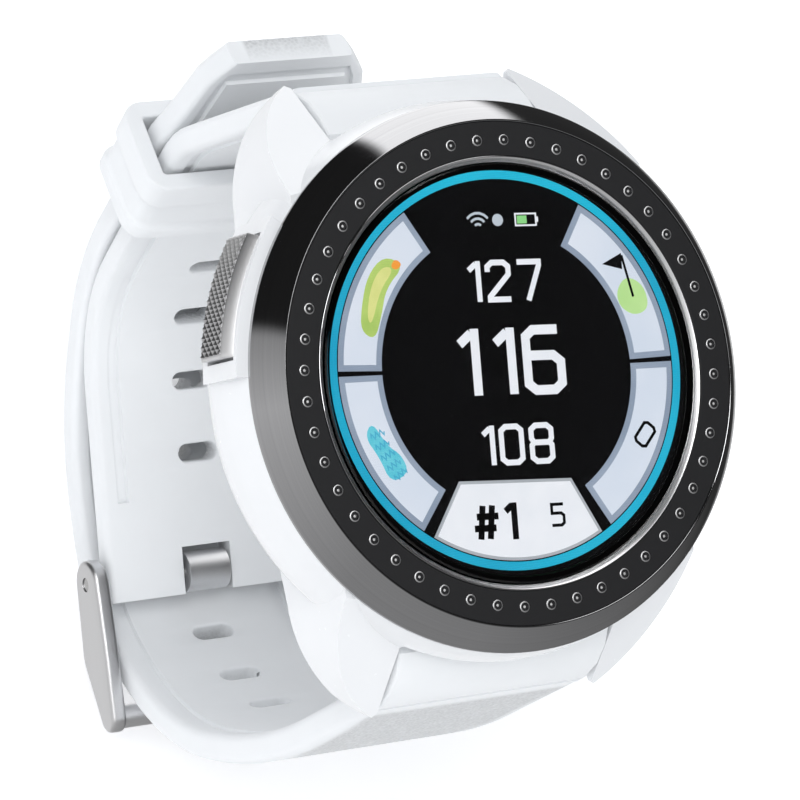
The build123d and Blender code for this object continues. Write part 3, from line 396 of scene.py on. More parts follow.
class Route:
    """Straight runs joined by arcs, in the YZ plane, measured along from its start."""

    def __init__(self, corners, bends):
        corners = [Vector(corner) for corner in corners]
        self.runs = []
        here = corners[0]
        for before, corner, after, bend in zip(corners, corners[1:], corners[2:], bends):
            way_in = (corner - before).normalized()
            way_out = (after - corner).normalized()
            turn = way_in.angle_signed(way_out)
            reach = bend * math.tan(abs(turn) / 2)
            start = corner - way_in * reach
            self.runs.append((here, way_in, (start - here).length, 0.0))
            self.runs.append((start, way_in, bend * abs(turn), -turn / (bend * abs(turn))))
            here = corner + way_out * reach
        last = (corners[-1] - corners[-2]).normalized()
        self.runs.append((here, last, (corners[-1] - here).length, 0.0))
        self.length = sum(run[2] for run in self.runs)

    def at(self, distance):
        """Point and direction at a distance; past either end the route runs on straight."""
        left = distance
        for index, (start, way, length, curve) in enumerate(self.runs):
            if left <= length or index == len(self.runs) - 1:
                break
            left -= length
        if not curve:
            return start + way * left, way
        angle = curve * left
        turned = Vector((way.x * math.cos(angle) - way.y * math.sin(angle),
                         way.x * math.sin(angle) + way.y * math.cos(angle)))
        side = Vector((-way.y, way.x)) / curve
        side_now = Vector((-turned.y, turned.x)) / curve
        return start + side - side_now, turned

    def bend(self, piece, outside):
        """Bend a flat piece (x across, y along, z outwards) onto the route."""
        for vertex in piece.data.vertices:
            spot, way = self.at(vertex.co.y / MM)
            out = Vector((way.y, -way.x)) * -outside
            moved = spot + out * (vertex.co.z / MM)
            vertex.co = Vector((vertex.co.x, moved.x * MM, moved.y * MM))
        edit_all(piece)
        outwards()


# ================================================================ materials
def new_material(name, colour, roughness, metallic=0.0):
    """A Principled material with its plain values set on the shader."""
    material = bpy.data.materials.new(name)
    material.use_nodes = True
    shader = material.node_tree.nodes["Principled BSDF"]
    shader.inputs["Base Color"].default_value = (*colour, 1)
    shader.inputs["Roughness"].default_value = roughness
    shader.inputs["Metallic"].default_value = metallic
    return material, material.node_tree, shader


def add(tree, kind, **values):
    """A node with some of its input values set by name."""
    node = tree.nodes.new(kind)
    for name, value in values.items():
        node.inputs[name.replace("_", " ")].default_value = value
    return node


def coordinates(tree, stretch=(1, 1, 1)):
    """Object coordinates in millimetres, stretched along an axis."""
    where = tree.nodes.new("ShaderNodeTexCoord")
    mapping = tree.nodes.new("ShaderNodeMapping")
    mapping.inputs["Scale"].default_value = [value / MM for value in stretch]
    tree.links.new(where.outputs["Object"], mapping.inputs["Vector"])
    return mapping.outputs["Vector"]


def noise(tree, vector, scale, detail=3.0):
    """A noise pattern's factor; scale is in features per millimetre."""
    node = add(tree, "ShaderNodeTexNoise", Scale=scale, Detail=detail)
    tree.links.new(vector, node.inputs["Vector"])
    return node.outputs["Fac"]


def spread(tree, factor, low, high):
    """Map a 0 to 1 factor onto a range."""
    node = add(tree, "ShaderNodeMapRange", To_Min=low, To_Max=high)
    tree.links.new(factor, node.inputs["Value"])
    return node.outputs["Result"]


def tint(tree, factor, low, high):
    """Blend two colours by a factor."""
    node = tree.nodes.new("ShaderNodeMix")
    node.data_type = "RGBA"
    node.inputs["A"].default_value = (*low, 1)
    node.inputs["B"].default_value = (*high, 1)
    tree.links.new(factor, node.inputs["Factor"])
    return node.outputs["Result"]


def shades(colour, change):
    """A darker and a lighter shade of a colour."""
    return [max(0, c * (1 - change)) for c in colour], [min(1, c * (1 + change)) for c in colour]


def bump(tree, shader, height, depth, strength=1.0):
    """Drive the shader's normal from a height, with its depth in millimetres."""
    node = add(tree, "ShaderNodeBump", Strength=strength, Distance=depth * MM)
    tree.links.new(height, node.inputs["Height"])
    tree.links.new(node.outputs["Normal"], shader.inputs["Normal"])


def white_moulding(colour):
    """Polished white case plastic, with the faint waviness of a moulding."""
    material, tree, shader = new_material("case_white_moulding", colour, 0.24)
    vector = coordinates(tree)
    low, high = shades(colour, 0.015)
    tree.links.new(tint(tree, noise(tree, vector, 0.25), low, high), shader.inputs["Base Color"])
    tree.links.new(spread(tree, noise(tree, vector, 1.5), 0.2, 0.3), shader.inputs["Roughness"])
    shader.inputs["Coat Weight"].default_value = 0.25
    shader.inputs["Coat Roughness"].default_value = 0.12
    bump(tree, shader, noise(tree, vector, 0.6), 0.02, 0.4)
    return material


def silicone(colour):
    """White strap silicone: smooth edges, and a fine pebble grain where the grain attribute says, with
    painted shade on the grain: pebble pits darkest, the whole grained face darker than the smooth border.
    """
    material, tree, shader = new_material("strap_silicone_white", colour, 0.5)
    vector = coordinates(tree)
    low, high = shades(colour, 0.02)
    tree.links.new(spread(tree, noise(tree, vector, 3.0), 0.42, 0.58), shader.inputs["Roughness"])
    shader.inputs["Sheen Weight"].default_value = 0.15
    grain = tree.nodes.new("ShaderNodeAttribute")
    grain.attribute_name = "grain"
    pebbles = add(tree, "ShaderNodeTexVoronoi", Scale=3.2)
    tree.links.new(vector, pebbles.inputs["Vector"])
    # painted shade: pebble pits darker than their crowns, and both darker than the smooth silicone
    pit_painted_shade, crown_painted_shade = [c * 0.6 for c in colour], [c * 0.86 for c in colour]
    painted_pebble_shade = tint(tree, pebbles.outputs["Distance"], pit_painted_shade, crown_painted_shade)
    mix = tree.nodes.new("ShaderNodeMix")
    mix.data_type = "RGBA"
    tree.links.new(grain.outputs["Fac"], mix.inputs["Factor"])
    tree.links.new(tint(tree, noise(tree, vector, 0.3), low, high), mix.inputs["A"])
    tree.links.new(painted_pebble_shade, mix.inputs["B"])
    tree.links.new(mix.outputs["Result"], shader.inputs["Base Color"])
    height = tree.nodes.new("ShaderNodeMath")
    height.operation = "MULTIPLY"
    tree.links.new(pebbles.outputs["Distance"], height.inputs[0])
    tree.links.new(grain.outputs["Fac"], height.inputs[1])
    bump(tree, shader, height.outputs["Value"], 0.1, 1.0)
    return material


def strap_material():
    """The silicone that both straps and the keeper share."""
    return bpy.data.materials.get("strap_silicone_white") or silicone(look().strap_colour)


def turned_steel(name, colour, roughness, streak=6.0):
    """Metal brushed round the Z axis: fine rings of lighter and darker, rougher and smoother."""
    material, tree, shader = new_material(name, colour, roughness, 1.0)
    vector = coordinates(tree)
    parts = tree.nodes.new("ShaderNodeSeparateXYZ")
    tree.links.new(vector, parts.inputs["Vector"])
    flat = tree.nodes.new("ShaderNodeCombineXYZ")
    tree.links.new(parts.outputs["X"], flat.inputs["X"])
    tree.links.new(parts.outputs["Y"], flat.inputs["Y"])
    radius = tree.nodes.new("ShaderNodeVectorMath")
    radius.operation = "LENGTH"
    tree.links.new(flat.outputs["Vector"], radius.inputs[0])
    rings = tree.nodes.new("ShaderNodeCombineXYZ")
    tree.links.new(radius.outputs["Value"], rings.inputs["X"])
    tree.links.new(parts.outputs["Z"], rings.inputs["Y"])
    pattern = noise(tree, rings.outputs["Vector"], streak, 5.0)
    low, high = shades(colour, 0.12)
    tree.links.new(tint(tree, pattern, low, high), shader.inputs["Base Color"])
    tree.links.new(spread(tree, pattern, roughness * 0.7, roughness * 1.4), shader.inputs["Roughness"])
    bump(tree, shader, pattern, 0.004, 0.5)
    return material


def brushed_steel(name, colour, roughness, stretch, hollow_shade_mask=""):
    """Metal brushed in one direction, with painted shade in the hollows that an attribute marks."""
    material, tree, shader = new_material(name, colour, roughness, 1.0)
    pattern = noise(tree, coordinates(tree, stretch), 5.0, 5.0)
    low, high = shades(colour, 0.07)
    base = tint(tree, pattern, low, high)
    if hollow_shade_mask:
        painted_shade_mask = tree.nodes.new("ShaderNodeAttribute")
        painted_shade_mask.attribute_name = hollow_shade_mask
        # painted shade: marked hollows darker grey, crests and unmarked metal the lighter shade
        base = tint(tree, painted_shade_mask.outputs["Fac"], (0.36, 0.36, 0.365), high)
    tree.links.new(base, shader.inputs["Base Color"])
    tree.links.new(spread(tree, pattern, roughness * 0.85, roughness * 1.2), shader.inputs["Roughness"])
    bump(tree, shader, pattern, 0.003, 0.4)
    return material


def satin_steel():
    """The buckle's fine-grained steel, shared by its frame and tongue."""
    name = "buckle_satin_steel"
    return bpy.data.materials.get(name) or brushed_steel(name, look().steel_colour, 0.4, (0.5, 6, 6))


def grained(name, colour, roughness, scale=2.0, depth=0.02, metallic=0.0):
    """A moulded or cast surface with a fine even grain."""
    material, tree, shader = new_material(name, colour, roughness, metallic)
    vector = coordinates(tree)
    pattern = noise(tree, vector, scale)
    low, high = shades(colour, 0.08)
    tree.links.new(tint(tree, noise(tree, vector, scale / 8), low, high), shader.inputs["Base Color"])
    tree.links.new(spread(tree, pattern, roughness * 0.85, roughness * 1.15), shader.inputs["Roughness"])
    bump(tree, shader, pattern, depth, 0.5)
    return material


def clear_glass():
    """Clear hard glass with a trace of smear in its polish."""
    material, tree, shader = new_material("lens_clear_glass", (1, 1, 1), 0.02)
    shader.inputs["Transmission Weight"].default_value = 1.0
    shader.inputs["IOR"].default_value = 1.5
    smear = noise(tree, coordinates(tree), 0.15)
    tree.links.new(spread(tree, smear, 0.005, 0.03), shader.inputs["Roughness"])
    return material


def lit(name, low, high, strength, scale=0.5):
    """A lit area of the display, with its rows of pixels."""
    material, tree, shader = new_material(name, (0.01, 0.01, 0.01), 0.3)
    vector = coordinates(tree)
    rows = tree.nodes.new("ShaderNodeTexWave")
    rows.bands_direction = "Y"
    rows.inputs["Scale"].default_value = 1.6
    rows.inputs["Distortion"].default_value = 0.0
    tree.links.new(vector, rows.inputs["Vector"])
    mix = tree.nodes.new("ShaderNodeMath")
    mix.operation = "MULTIPLY"
    mix.inputs[1].default_value = 0.12
    tree.links.new(rows.outputs["Fac"], mix.inputs[0])
    both = tree.nodes.new("ShaderNodeMath")
    both.operation = "SUBTRACT"
    tree.links.new(spread(tree, noise(tree, vector, scale), 0.05, 1.05), both.inputs[0])
    tree.links.new(mix.outputs["Value"], both.inputs[1])
    tree.links.new(tint(tree, both.outputs["Value"], low, high), shader.inputs["Emission Color"])
    shader.inputs["Emission Strength"].default_value = strength
    return material


# ================================================================ settings
class WatchLook(bpy.types.PropertyGroup):
    """Colours and finishes that a user would change."""

    case_colour: FloatVectorProperty(
        name="Case", description="Colour of the case moulding", subtype="COLOR",
        default=(0.80, 0.81, 0.825), min=0, max=1,
    )
    strap_colour: FloatVectorProperty(
        name="Strap", description="Colour of the strap silicone", subtype="COLOR",
        default=(0.80, 0.815, 0.83), min=0, max=1,
    )
    bezel_colour: FloatVectorProperty(
        name="Bezel", description="Colour of the bezel's dark steel", subtype="COLOR",
        default=(0.42, 0.42, 0.43), min=0, max=1,
    )
    insert_colour: FloatVectorProperty(
        name="Insert", description="Colour of the bezel's matt insert", subtype="COLOR",
        default=(0.012, 0.012, 0.013), min=0, max=1,
    )
    steel_colour: FloatVectorProperty(
        name="Steel", description="Colour of the buckle and button steel", subtype="COLOR",
        default=(0.74, 0.74, 0.75), min=0, max=1,
    )
    screen_light: FloatProperty(
        name="Screen light", description="Brightness of the display", default=1.0, min=0, max=10,
    )


class WatchShape(bpy.types.PropertyGroup):
    """Sizes of the details that a user would change."""

    strap_round: FloatProperty(
        name="Strap edge", description="Rounding of the strap's long edges", subtype="DISTANCE",
        default=0.7 * MM, min=0.1 * MM, max=1.1 * MM, precision=5,
    )
    bezel_round: FloatProperty(
        name="Bezel edge", description="Rounding of the bezel's edges", subtype="DISTANCE",
        default=0.12 * MM, min=0.01 * MM, max=0.3 * MM, precision=5,
    )
    bezel_steps: IntProperty(
        name="Bezel steps", description="Facets round the bezel", default=180, min=48, max=360,
    )
    stud_count: IntProperty(
        name="Studs", description="Studs round the bezel", default=48, min=4, max=90,
    )
    knurl_depth: FloatProperty(
        name="Knurl", description="Height of the button's diamonds", subtype="DISTANCE",
        default=0.2 * MM, min=0.01 * MM, max=0.3 * MM, precision=5,
    )


def look():
    return bpy.context.scene.watch_look


def shape():
    return bpy.context.scene.watch_shape


# ================================================================ straps
def flat_band(name, length, thickness, first_slot, pitch):
    """A flat strap with rounded long edges, cut across at even steps that line up with its slots."""
    piece = slab(name, (STRAP_W, length, thickness), (0, length / 2, 0))
    edit(piece, "EDGE", lambda a, b: abs(a.y - b.y) > length / 2)
    bpy.ops.mesh.bevel(offset=shape().strap_round, segments=6, profile=0.5, affect="EDGES")
    step = pitch / CUTS_PER_PITCH
    place_y = first_slot - step * math.floor(first_slot / step)
    while place_y < length - step / 2:
        bpy.ops.mesh.select_all(action="SELECT")
        if place_y > CUTS_FROM:
            bpy.ops.mesh.bisect(plane_co=(0, place_y * MM, 0), plane_no=(0, 1, 0))
        place_y += step
    bpy.ops.object.mode_set(mode="OBJECT")
    return piece


def slot_cutters(name, places, thickness):
    """Round-ended prisms that pierce a flat strap."""
    cutters = []
    for index, place_y in enumerate(places):
        leave_edit()
        bpy.ops.mesh.primitive_cylinder_add(
            vertices=24, radius=SLOT_W / 2 * MM, depth=2 * thickness * MM, location=(0, place_y * MM, 0))
        cutter = bpy.context.object
        cutter.name = f"{name}_{index}"
        activate(cutter)
        bpy.ops.object.transform_apply(location=True, rotation=True, scale=True)
        straight = (SLOT_L - SLOT_W) / 2 * MM
        for vertex in cutter.data.vertices:
            vertex.co.x += math.copysign(straight, vertex.co.x) if abs(vertex.co.x) > 1e-7 else straight
        cutters.append(cutter)
    return join(cutters)


def round_slots(piece, places, thickness):
    """Round the rims of a strap's slots."""
    def on_rim(spot):
        if abs(abs(spot.z) - thickness / 2) > 0.01 or abs(spot.x) > SLOT_L / 2 + 0.02:
            return False
        along = min(abs(spot.y - place_y) for place_y in places)
        inward = max(0, abs(spot.x) - (SLOT_L - SLOT_W) / 2)
        return math.hypot(inward, along) < SLOT_W / 2 + 0.02

    edit(piece, "EDGE", lambda a, b: on_rim(a) and on_rim(b))
    bpy.ops.mesh.bevel(offset=SLOT_ROUND * MM, segments=4, profile=0.5, affect="EDGES", clamp_overlap=False)
    bpy.ops.object.mode_set(mode="OBJECT")


def groove(piece, low_y, high_y, joined_end=0.0):
    """Sink a channel along both sides of the inner face, and cut rows of points where the grain ends."""
    edit_all(piece)
    for edge_x in (-GROOVE_OUT, -GROOVE_IN, -GRAIN_EDGE, GRAIN_EDGE, GROOVE_IN, GROOVE_OUT):
        bpy.ops.mesh.select_all(action="SELECT")
        bpy.ops.mesh.bisect(plane_co=(edge_x * MM, 0, 0), plane_no=(1, 0, 0))
    for edge_y in (low_y, high_y, high_y - joined_end):
        bpy.ops.mesh.select_all(action="SELECT")
        bpy.ops.mesh.bisect(plane_co=(0, edge_y * MM, 0), plane_no=(0, 1, 0))

    def in_channel(centre, normal):
        if normal.z > -0.9 or not low_y < centre.y < high_y or abs(centre.x) > GROOVE_OUT:
            return False
        return abs(centre.x) > GROOVE_IN or centre.y > high_y - joined_end

    edit(piece, "FACE", in_channel)
    bpy.ops.mesh.inset(thickness=GROOVE_WALL * MM, depth=-GROOVE_DEPTH * MM, use_boundary=True)
    bpy.ops.object.mode_set(mode="OBJECT")


def knuckle(side):
    """The strap end that fills the recess between two lugs."""
    points = [
        (RECESS_Y + 0.3, BAR_Z - 1.5),
        (RECESS_Y + 0.3, BAR_Z + 3.6),
        (RECESS_Y + 1.1, BAR_Z + 3.85),
        (BAR_Y + 0.5, BAR_Z + 2.7),
        (BAR_Y + 1.9, BAR_Z + 1.1),
        (BAR_Y + 2.85, BAR_Z - 0.9),
        (BAR_Y + 3.3, BAR_Z - 3.0),
        (BAR_Y + 1.0, BAR_Z - 3.2),
        (BAR_Y - 1.0, BAR_Z - 2.2),
    ]
    half = STRAP_W / 2
    loop = [(-half, side * y, z) for y, z in points]
    piece = outline("knuckle", loop + loop[:1])
    fill(piece)
    extrude((STRAP_W, 0, 0))
    edit(piece, "EDGE", lambda a, b: abs(a.x - b.x) < 0.01 and min(a.z, b.z) > BAR_Z - 1.4)
    bpy.ops.mesh.bevel(offset=0.35 * MM, segments=3, affect="EDGES")
    bpy.ops.object.mode_set(mode="OBJECT")
    return piece


def mark_grain(piece):
    """Grain on the outer face, inside the smooth facets that widen from the lug; the same mask sets where the
    silicone paints shade on the grain.
    """
    grain = piece.data.attributes.new("grain", "FLOAT", "POINT")
    half = STRAP_W / 2
    for vertex, value in zip(piece.data.vertices, grain.data):
        spot = vertex.co / MM
        edge_x = half - FACET_START - FACET_GAIN * min(1, max(0, spot.y) / FACET_L)
        inside = min(1, max(0, (edge_x - abs(spot.x)) / FACET_FADE + 1))
        value.value = inside if spot.z > 0 and spot.y > GRAIN_FROM else 0


def taper_tip(piece, length):
    """Draw the free tip in towards its blunt, angled end."""
    half = STRAP_W / 2
    for vertex in piece.data.vertices:
        left = length - vertex.co.y / MM
        if left < TIP_SHOULDER:
            wide = TIP_END_W / 2 + (TIP_SHOULDER_W - TIP_END_W) / 2 * max(0, left) / TIP_SHOULDER
        elif left < TIP_SHOULDER + TIP_TAPER:
            wide = TIP_SHOULDER_W / 2 + (half - TIP_SHOULDER_W / 2) * (left - TIP_SHOULDER) / TIP_TAPER
        else:
            wide = half
        vertex.co.x *= wide / half


class WATCH_OT_straps(bpy.types.Operator):
    """Model both straps flat, pierce and groove them, and bend them onto their routes"""

    bl_idname = "watch.straps"
    bl_label = "Straps"

    def execute(self, context):
        material = strap_material()
        self.upper(material)
        self.lower(material)
        return {"FINISHED"}

    def upper(self, material):
        route = Route(UPPER_ROUTE, UPPER_BENDS)
        length = route.length + UPPER_T / 2
        places = [UPPER_FIRST_SLOT + UPPER_SLOT_PITCH * index for index in range(UPPER_SLOTS)]
        piece = flat_band("upper_strap_silicone", length, UPPER_T, UPPER_FIRST_SLOT, UPPER_SLOT_PITCH)
        groove(piece, UPPER_GROOVE, length - UPPER_GROOVE_END)
        carve(piece, slot_cutters("slot", places, UPPER_T))
        round_slots(piece, places, UPPER_T)
        end = Vector(UPPER_ROUTE[-1])
        notch_y = route.length - (HINGE - end).length * math.copysign(1, HINGE.x - end.x)
        carve(piece, slab("notch", (NOTCH_W, NOTCH_L, 3 * UPPER_T), (0, notch_y, 0)))
        mark_grain(piece)
        route.bend(piece, 1)
        carve(piece, knuckle(1), "UNION")
        finish_piece(piece, material, WATCH, "strap_silicone", ["upper_strap"], 25)

    def lower(self, material):
        route = Route(LOWER_ROUTE, LOWER_BENDS)
        length = route.length + LOWER_T / 2
        places = [LOWER_FIRST_SLOT + LOWER_SLOT_PITCH * index for index in range(LOWER_SLOTS)]
        piece = flat_band("lower_strap_silicone", length, LOWER_T, LOWER_FIRST_SLOT, LOWER_SLOT_PITCH)
        groove(piece, LOWER_GROOVE, length - TIP_RIM, TIP_GROOVE)
        carve(piece, slot_cutters("slot", places, LOWER_T))
        round_slots(piece, places, LOWER_T)
        mark_grain(piece)
        taper_tip(piece, length)
        route.bend(piece, -1)
        carve(piece, knuckle(-1), "UNION")
        finish_piece(piece, material, WATCH, "strap_silicone", ["lower_strap"], 25)


class WATCH_OT_keeper(bpy.types.Operator):
    """Model the strap keeper: a soft rectangular loop with a thick lip, a sunk band and a lower rim"""

    bl_idname = "watch.keeper"
    bl_label = "Keeper"

    def execute(self, context):
        wide = KEEPER_GAP_W + 2 * KEEPER_WALL
        high = KEEPER_GAP_H + 2 * KEEPER_WALL
        piece = slab("keeper_loop", (wide, high, KEEPER_L), (0, 0, -KEEPER_L / 2))
        edit(piece, "EDGE", lambda a, b: abs(a.z - b.z) > KEEPER_L / 2)
        bpy.ops.mesh.bevel(offset=2.0 * MM, segments=8, affect="EDGES")
        for depth in (KEEPER_LIP, KEEPER_L - KEEPER_RIM):
            bpy.ops.mesh.select_all(action="SELECT")
            bpy.ops.mesh.bisect(plane_co=(0, 0, -depth * MM), plane_no=(0, 0, 1))

        def in_band(centre, normal):
            return abs(normal.z) < 0.5 and -KEEPER_L + KEEPER_RIM < centre.z < -KEEPER_LIP

        def at_mouth(centre, normal):
            return abs(normal.z) > 0.9 and abs(centre.x) < 1 and abs(centre.y) < 1

        edit(piece, "FACE", in_band)
        bpy.ops.mesh.inset(thickness=0.25 * MM, depth=-0.45 * MM, use_even_offset=True)
        edit(piece, "FACE", at_mouth)
        bpy.ops.mesh.inset(thickness=KEEPER_WALL * MM)
        bpy.ops.mesh.bridge_edge_loops()
        outwards()
        soften(piece, 0.38 * MM, 4, 35)
        lean = math.radians(KEEPER_LEAN)
        middle_y, middle_z = KEEPER_MOUTH
        place(piece, Matrix.Translation((0, middle_y, middle_z)) @ Matrix.Rotation(-lean, 4, "X"))
        finish_piece(piece, strap_material(), "keeper", "strap_silicone", ["keeper"], 35)
        return {"FINISHED"}


# ================================================================ buckle
class WATCH_OT_buckle(bpy.types.Operator):
    """Model the buckle's two rounded arms and its crossbar as one softened frame"""

    bl_idname = "watch.buckle"
    bl_label = "Buckle"

    def execute(self, context):
        arm_in = STRAP_W / 2 + ARM_GAP
        arm_out = arm_in + ARM_T
        left = self.arm(-arm_out)
        right = self.arm(arm_in)
        piece = self.rod("crossbar", CROSS, CROSS_R, 2 * arm_out - ARM_T)
        carve(piece, left, "UNION")
        carve(piece, right, "UNION")
        carve(piece, self.rod("bore", HINGE, HINGE_R, 3 * arm_out))
        piece.name = "buckle_satin_frame"
        finish_piece(piece, satin_steel(), "buckle", "buckle_steel", ["buckle_frame"], 35)
        return {"FINISHED"}

    def arm(self, low_x):
        """One arm: a plate round three circles, with its flat sides' edges rounded."""
        ring = [centre + Vector((math.cos(turn), math.sin(turn))) * radius
                for centre, radius in ARM_ROUNDS
                for turn in (math.tau * step / 40 for step in range(40))]
        hull = [(low_x, *ring[index]) for index in convex_hull_2d(ring)]
        piece = outline("arm", hull + hull[:1])
        fill(piece)
        extrude((ARM_T, 0, 0))
        edit(piece, "EDGE", lambda a, b: abs(a.x - b.x) < 0.01)
        bpy.ops.mesh.bevel(offset=ARM_ROUND * MM, segments=4, affect="EDGES")
        bpy.ops.object.mode_set(mode="OBJECT")
        return piece

    def rod(self, name, middle, radius, length):
        """A round bar across the strap."""
        leave_edit()
        bpy.ops.mesh.primitive_cylinder_add(vertices=48, radius=radius * MM, depth=length * MM)
        piece = bpy.context.object
        piece.name = name
        place(piece, Matrix.Translation((0, *middle)) @ Matrix.Rotation(math.radians(90), 4, "Y"))
        return piece


# ================================================================ bezel
class WATCH_OT_bezel(bpy.types.Operator):
    """Turn the bezel ring, its matt insert and its studs"""

    bl_idname = "watch.bezel"
    bl_label = "Bezel"

    def execute(self, context):
        self.ring()
        self.insert()
        self.studs()
        return {"FINISHED"}

    def ring(self):
        foot = HEAD_TOP - RING_H
        bore = LENS_R + LENS_GAP
        profile = [
            (bore, HEAD_TOP - 1.3),
            (bore, HEAD_TOP - LIP_W),
            (bore + LIP_W, HEAD_TOP),
            (INSERT_R - WELL_W, HEAD_TOP),
            (INSERT_R - WELL_W, HEAD_TOP - WELL_DEPTH),
            (INSERT_R, HEAD_TOP - WELL_DEPTH),
            (INSERT_R, HEAD_TOP),
            (INSERT_R + 0.15, HEAD_TOP),
            (BEZEL_R - 0.1, foot + 0.55),
            (BEZEL_R, foot + 0.35),
            (BEZEL_R, foot),
            (bore + 0.3, foot),
        ]
        piece = spin("bezel_turned_ring", profile, shape().bezel_steps)
        soften(piece, shape().bezel_round / 2, 2, 25)
        piece.data.materials.append(turned_steel("bezel_dark_steel", look().bezel_colour, 0.08))
        piece.data.materials.append(turned_steel("bezel_polished_lip", (0.85, 0.85, 0.86), 0.3))
        for face in piece.data.polygons:
            radius = math.hypot(face.center.x, face.center.y) / MM
            face.material_index = 1 if radius < bore + 0.45 and 0.3 < face.normal.z < 0.95 else 0
        finish_piece(piece, None, WATCH, "bezel_steel", ["bezel_ring"], 20)

    def insert(self):
        low = HEAD_TOP - 0.5
        edge = 0.06
        outer = INSERT_R - 0.02
        inner = INSERT_R - 2.83
        top = HEAD_TOP - 0.04
        profile = [
            (inner, low),
            (inner, top - edge),
            (inner + edge, top),
            (outer - edge, top),
            (outer, top - edge),
            (outer, low),
        ]
        piece = spin("bezel_matt_insert", profile, shape().bezel_steps)
        finish_piece(piece, grained("insert_matt_black", look().insert_colour, 0.42, 6.0, 0.006),
                     WATCH, "insert_black", ["bezel_insert"], 20)

    def studs(self):
        top = HEAD_TOP + 0.02
        profile = [
            (0, top - 0.15),
            (STUD_R, top - 0.15),
            (STUD_R, top - 0.03),
            (STUD_R - 0.05, top),
            (STUD_R - 0.1, top),
            (STUD_R - 0.13, top - 0.04),
            (0.17, top - 0.13),
            (0.11, top - 0.06),
            (0, top - 0.05),
        ]
        stud = spin("stud", profile, 16, closed=False)
        # one stud metal in three colours: the rim its own silver, the dimple near black as painted shade, the
        # centre point white as a painted highlight
        stud.data.materials.append(grained("stud_rim_silver", (0.6, 0.6, 0.61), 0.45, 3.0, 0.002, 1.0))
        stud.data.materials.append(grained("stud_painted_shade_dimple", (0.04, 0.04, 0.042), 0.3, 3.0, 0.002, 1.0))
        stud.data.materials.append(grained("stud_painted_highlight_point", (1.0, 1.0, 1.0), 0.55, 3.0, 0.002, 1.0))
        for face in stud.data.polygons:
            radius = math.hypot(face.center.x, face.center.y) / MM
            face.material_index = 0 if radius > STUD_R - 0.12 else 1 if radius > 0.14 else 2
        copies = []
        for index in range(shape().stud_count):
            angle = math.radians(STUD_PHASE + 360 / shape().stud_count * index)
            matrix = Matrix.Translation((STUD_RING_R * math.cos(angle), STUD_RING_R * math.sin(angle), 0))
            copies.append(copy_of(stud, f"stud_{index}", matrix))
        bpy.data.objects.remove(stud, do_unlink=True)
        piece = join(copies)
        piece.name = "bezel_stud_dimples"
        finish_piece(piece, None, WATCH, "stud_silver", ["bezel_studs"], 40)


# ================================================================ face
def face_sheet(name, height, thickness, inner, outer, low, high, steps, rim=0.0, rim_height=0.0):
    """A flat sector between two angles in degrees: radii are numbers or functions of the angle."""
    leave_edit()
    bpy.ops.mesh.primitive_grid_add(x_subdivisions=steps, y_subdivisions=1, size=2, location=(0, 0, 0))
    piece = bpy.context.object
    piece.name = name
    for vertex in piece.data.vertices:
        angle = math.radians(low + (high - low) * (vertex.co.x + 1) / 2)
        near = inner(angle) if callable(inner) else inner
        far = outer(angle) if callable(outer) else outer
        radius = near + (far - near) * (vertex.co.y + 1) / 2
        vertex.co = Vector((radius * math.cos(angle), radius * math.sin(angle), height)) * MM
    edit_all(piece)
    bpy.ops.mesh.remove_doubles(threshold=0.001 * MM)
    outwards()
    face_up(piece)
    edit_all(piece)
    bpy.ops.mesh.extrude_region_move(TRANSFORM_OT_translate={"value": (0, 0, thickness * MM)})
    if rim:
        bpy.ops.mesh.inset(thickness=rim * MM, depth=rim_height * MM, use_even_offset=True)
        bpy.ops.object.mode_set(mode="OBJECT")
        for face in piece.data.polygons:
            face.material_index = 0 if face.select else 1
        bpy.ops.object.mode_set(mode="EDIT")
    outwards()
    return piece


def blob(name, points, height, thickness, rounds=2):
    """A small rounded patch through a few corner points."""
    piece = outline(name, [(x, y, height) for x, y in points + points[:1]])
    fill(piece)
    outwards()
    if rounds:
        edit(piece, "VERT", lambda spot: True)
        for _ in range(rounds):
            bpy.ops.mesh.bevel(offset_type="PERCENT", offset_pct=25, affect="VERTICES")
            bpy.ops.mesh.select_all(action="SELECT")
        bpy.ops.object.mode_set(mode="OBJECT")
    face_up(piece)
    edit_all(piece)
    extrude((0, 0, thickness))
    return piece


def stroke(name, points, width, height, thickness, closed=False):
    """A flat line of one width through points, with mitred corners."""
    spots = [Vector(point) for point in points]
    count = len(spots)
    left, right = [], []
    for index, spot in enumerate(spots):
        before = spots[index - 1] if closed or index else None
        after = spots[(index + 1) % count] if closed or index < count - 1 else None
        way_in = (spot - before).normalized() if before is not None else (after - spot).normalized()
        way_out = (after - spot).normalized() if after is not None else way_in
        mean = (way_in + way_out).normalized()
        reach = width / 2 / max(0.4, mean.dot(way_out))
        side = Vector((-mean.y, mean.x)) * reach
        left.append(spot + side)
        right.append(spot - side)
    mesh = bpy.data.meshes.new(name)
    shape_mesh = bmesh.new()
    rails = [
        [shape_mesh.verts.new((p.x * MM, p.y * MM, height * MM)) for p in rail] for rail in (left, right)
    ]
    for index in range(count if closed else count - 1):
        following = (index + 1) % count
        shape_mesh.faces.new((rails[1][index], rails[1][following], rails[0][following], rails[0][index]))
    shape_mesh.to_mesh(mesh)
    shape_mesh.free()
    piece = bpy.data.objects.new(name, mesh)
    bpy.context.collection.objects.link(piece)
    edit_all(piece)
    extrude((0, 0, thickness))
    return piece


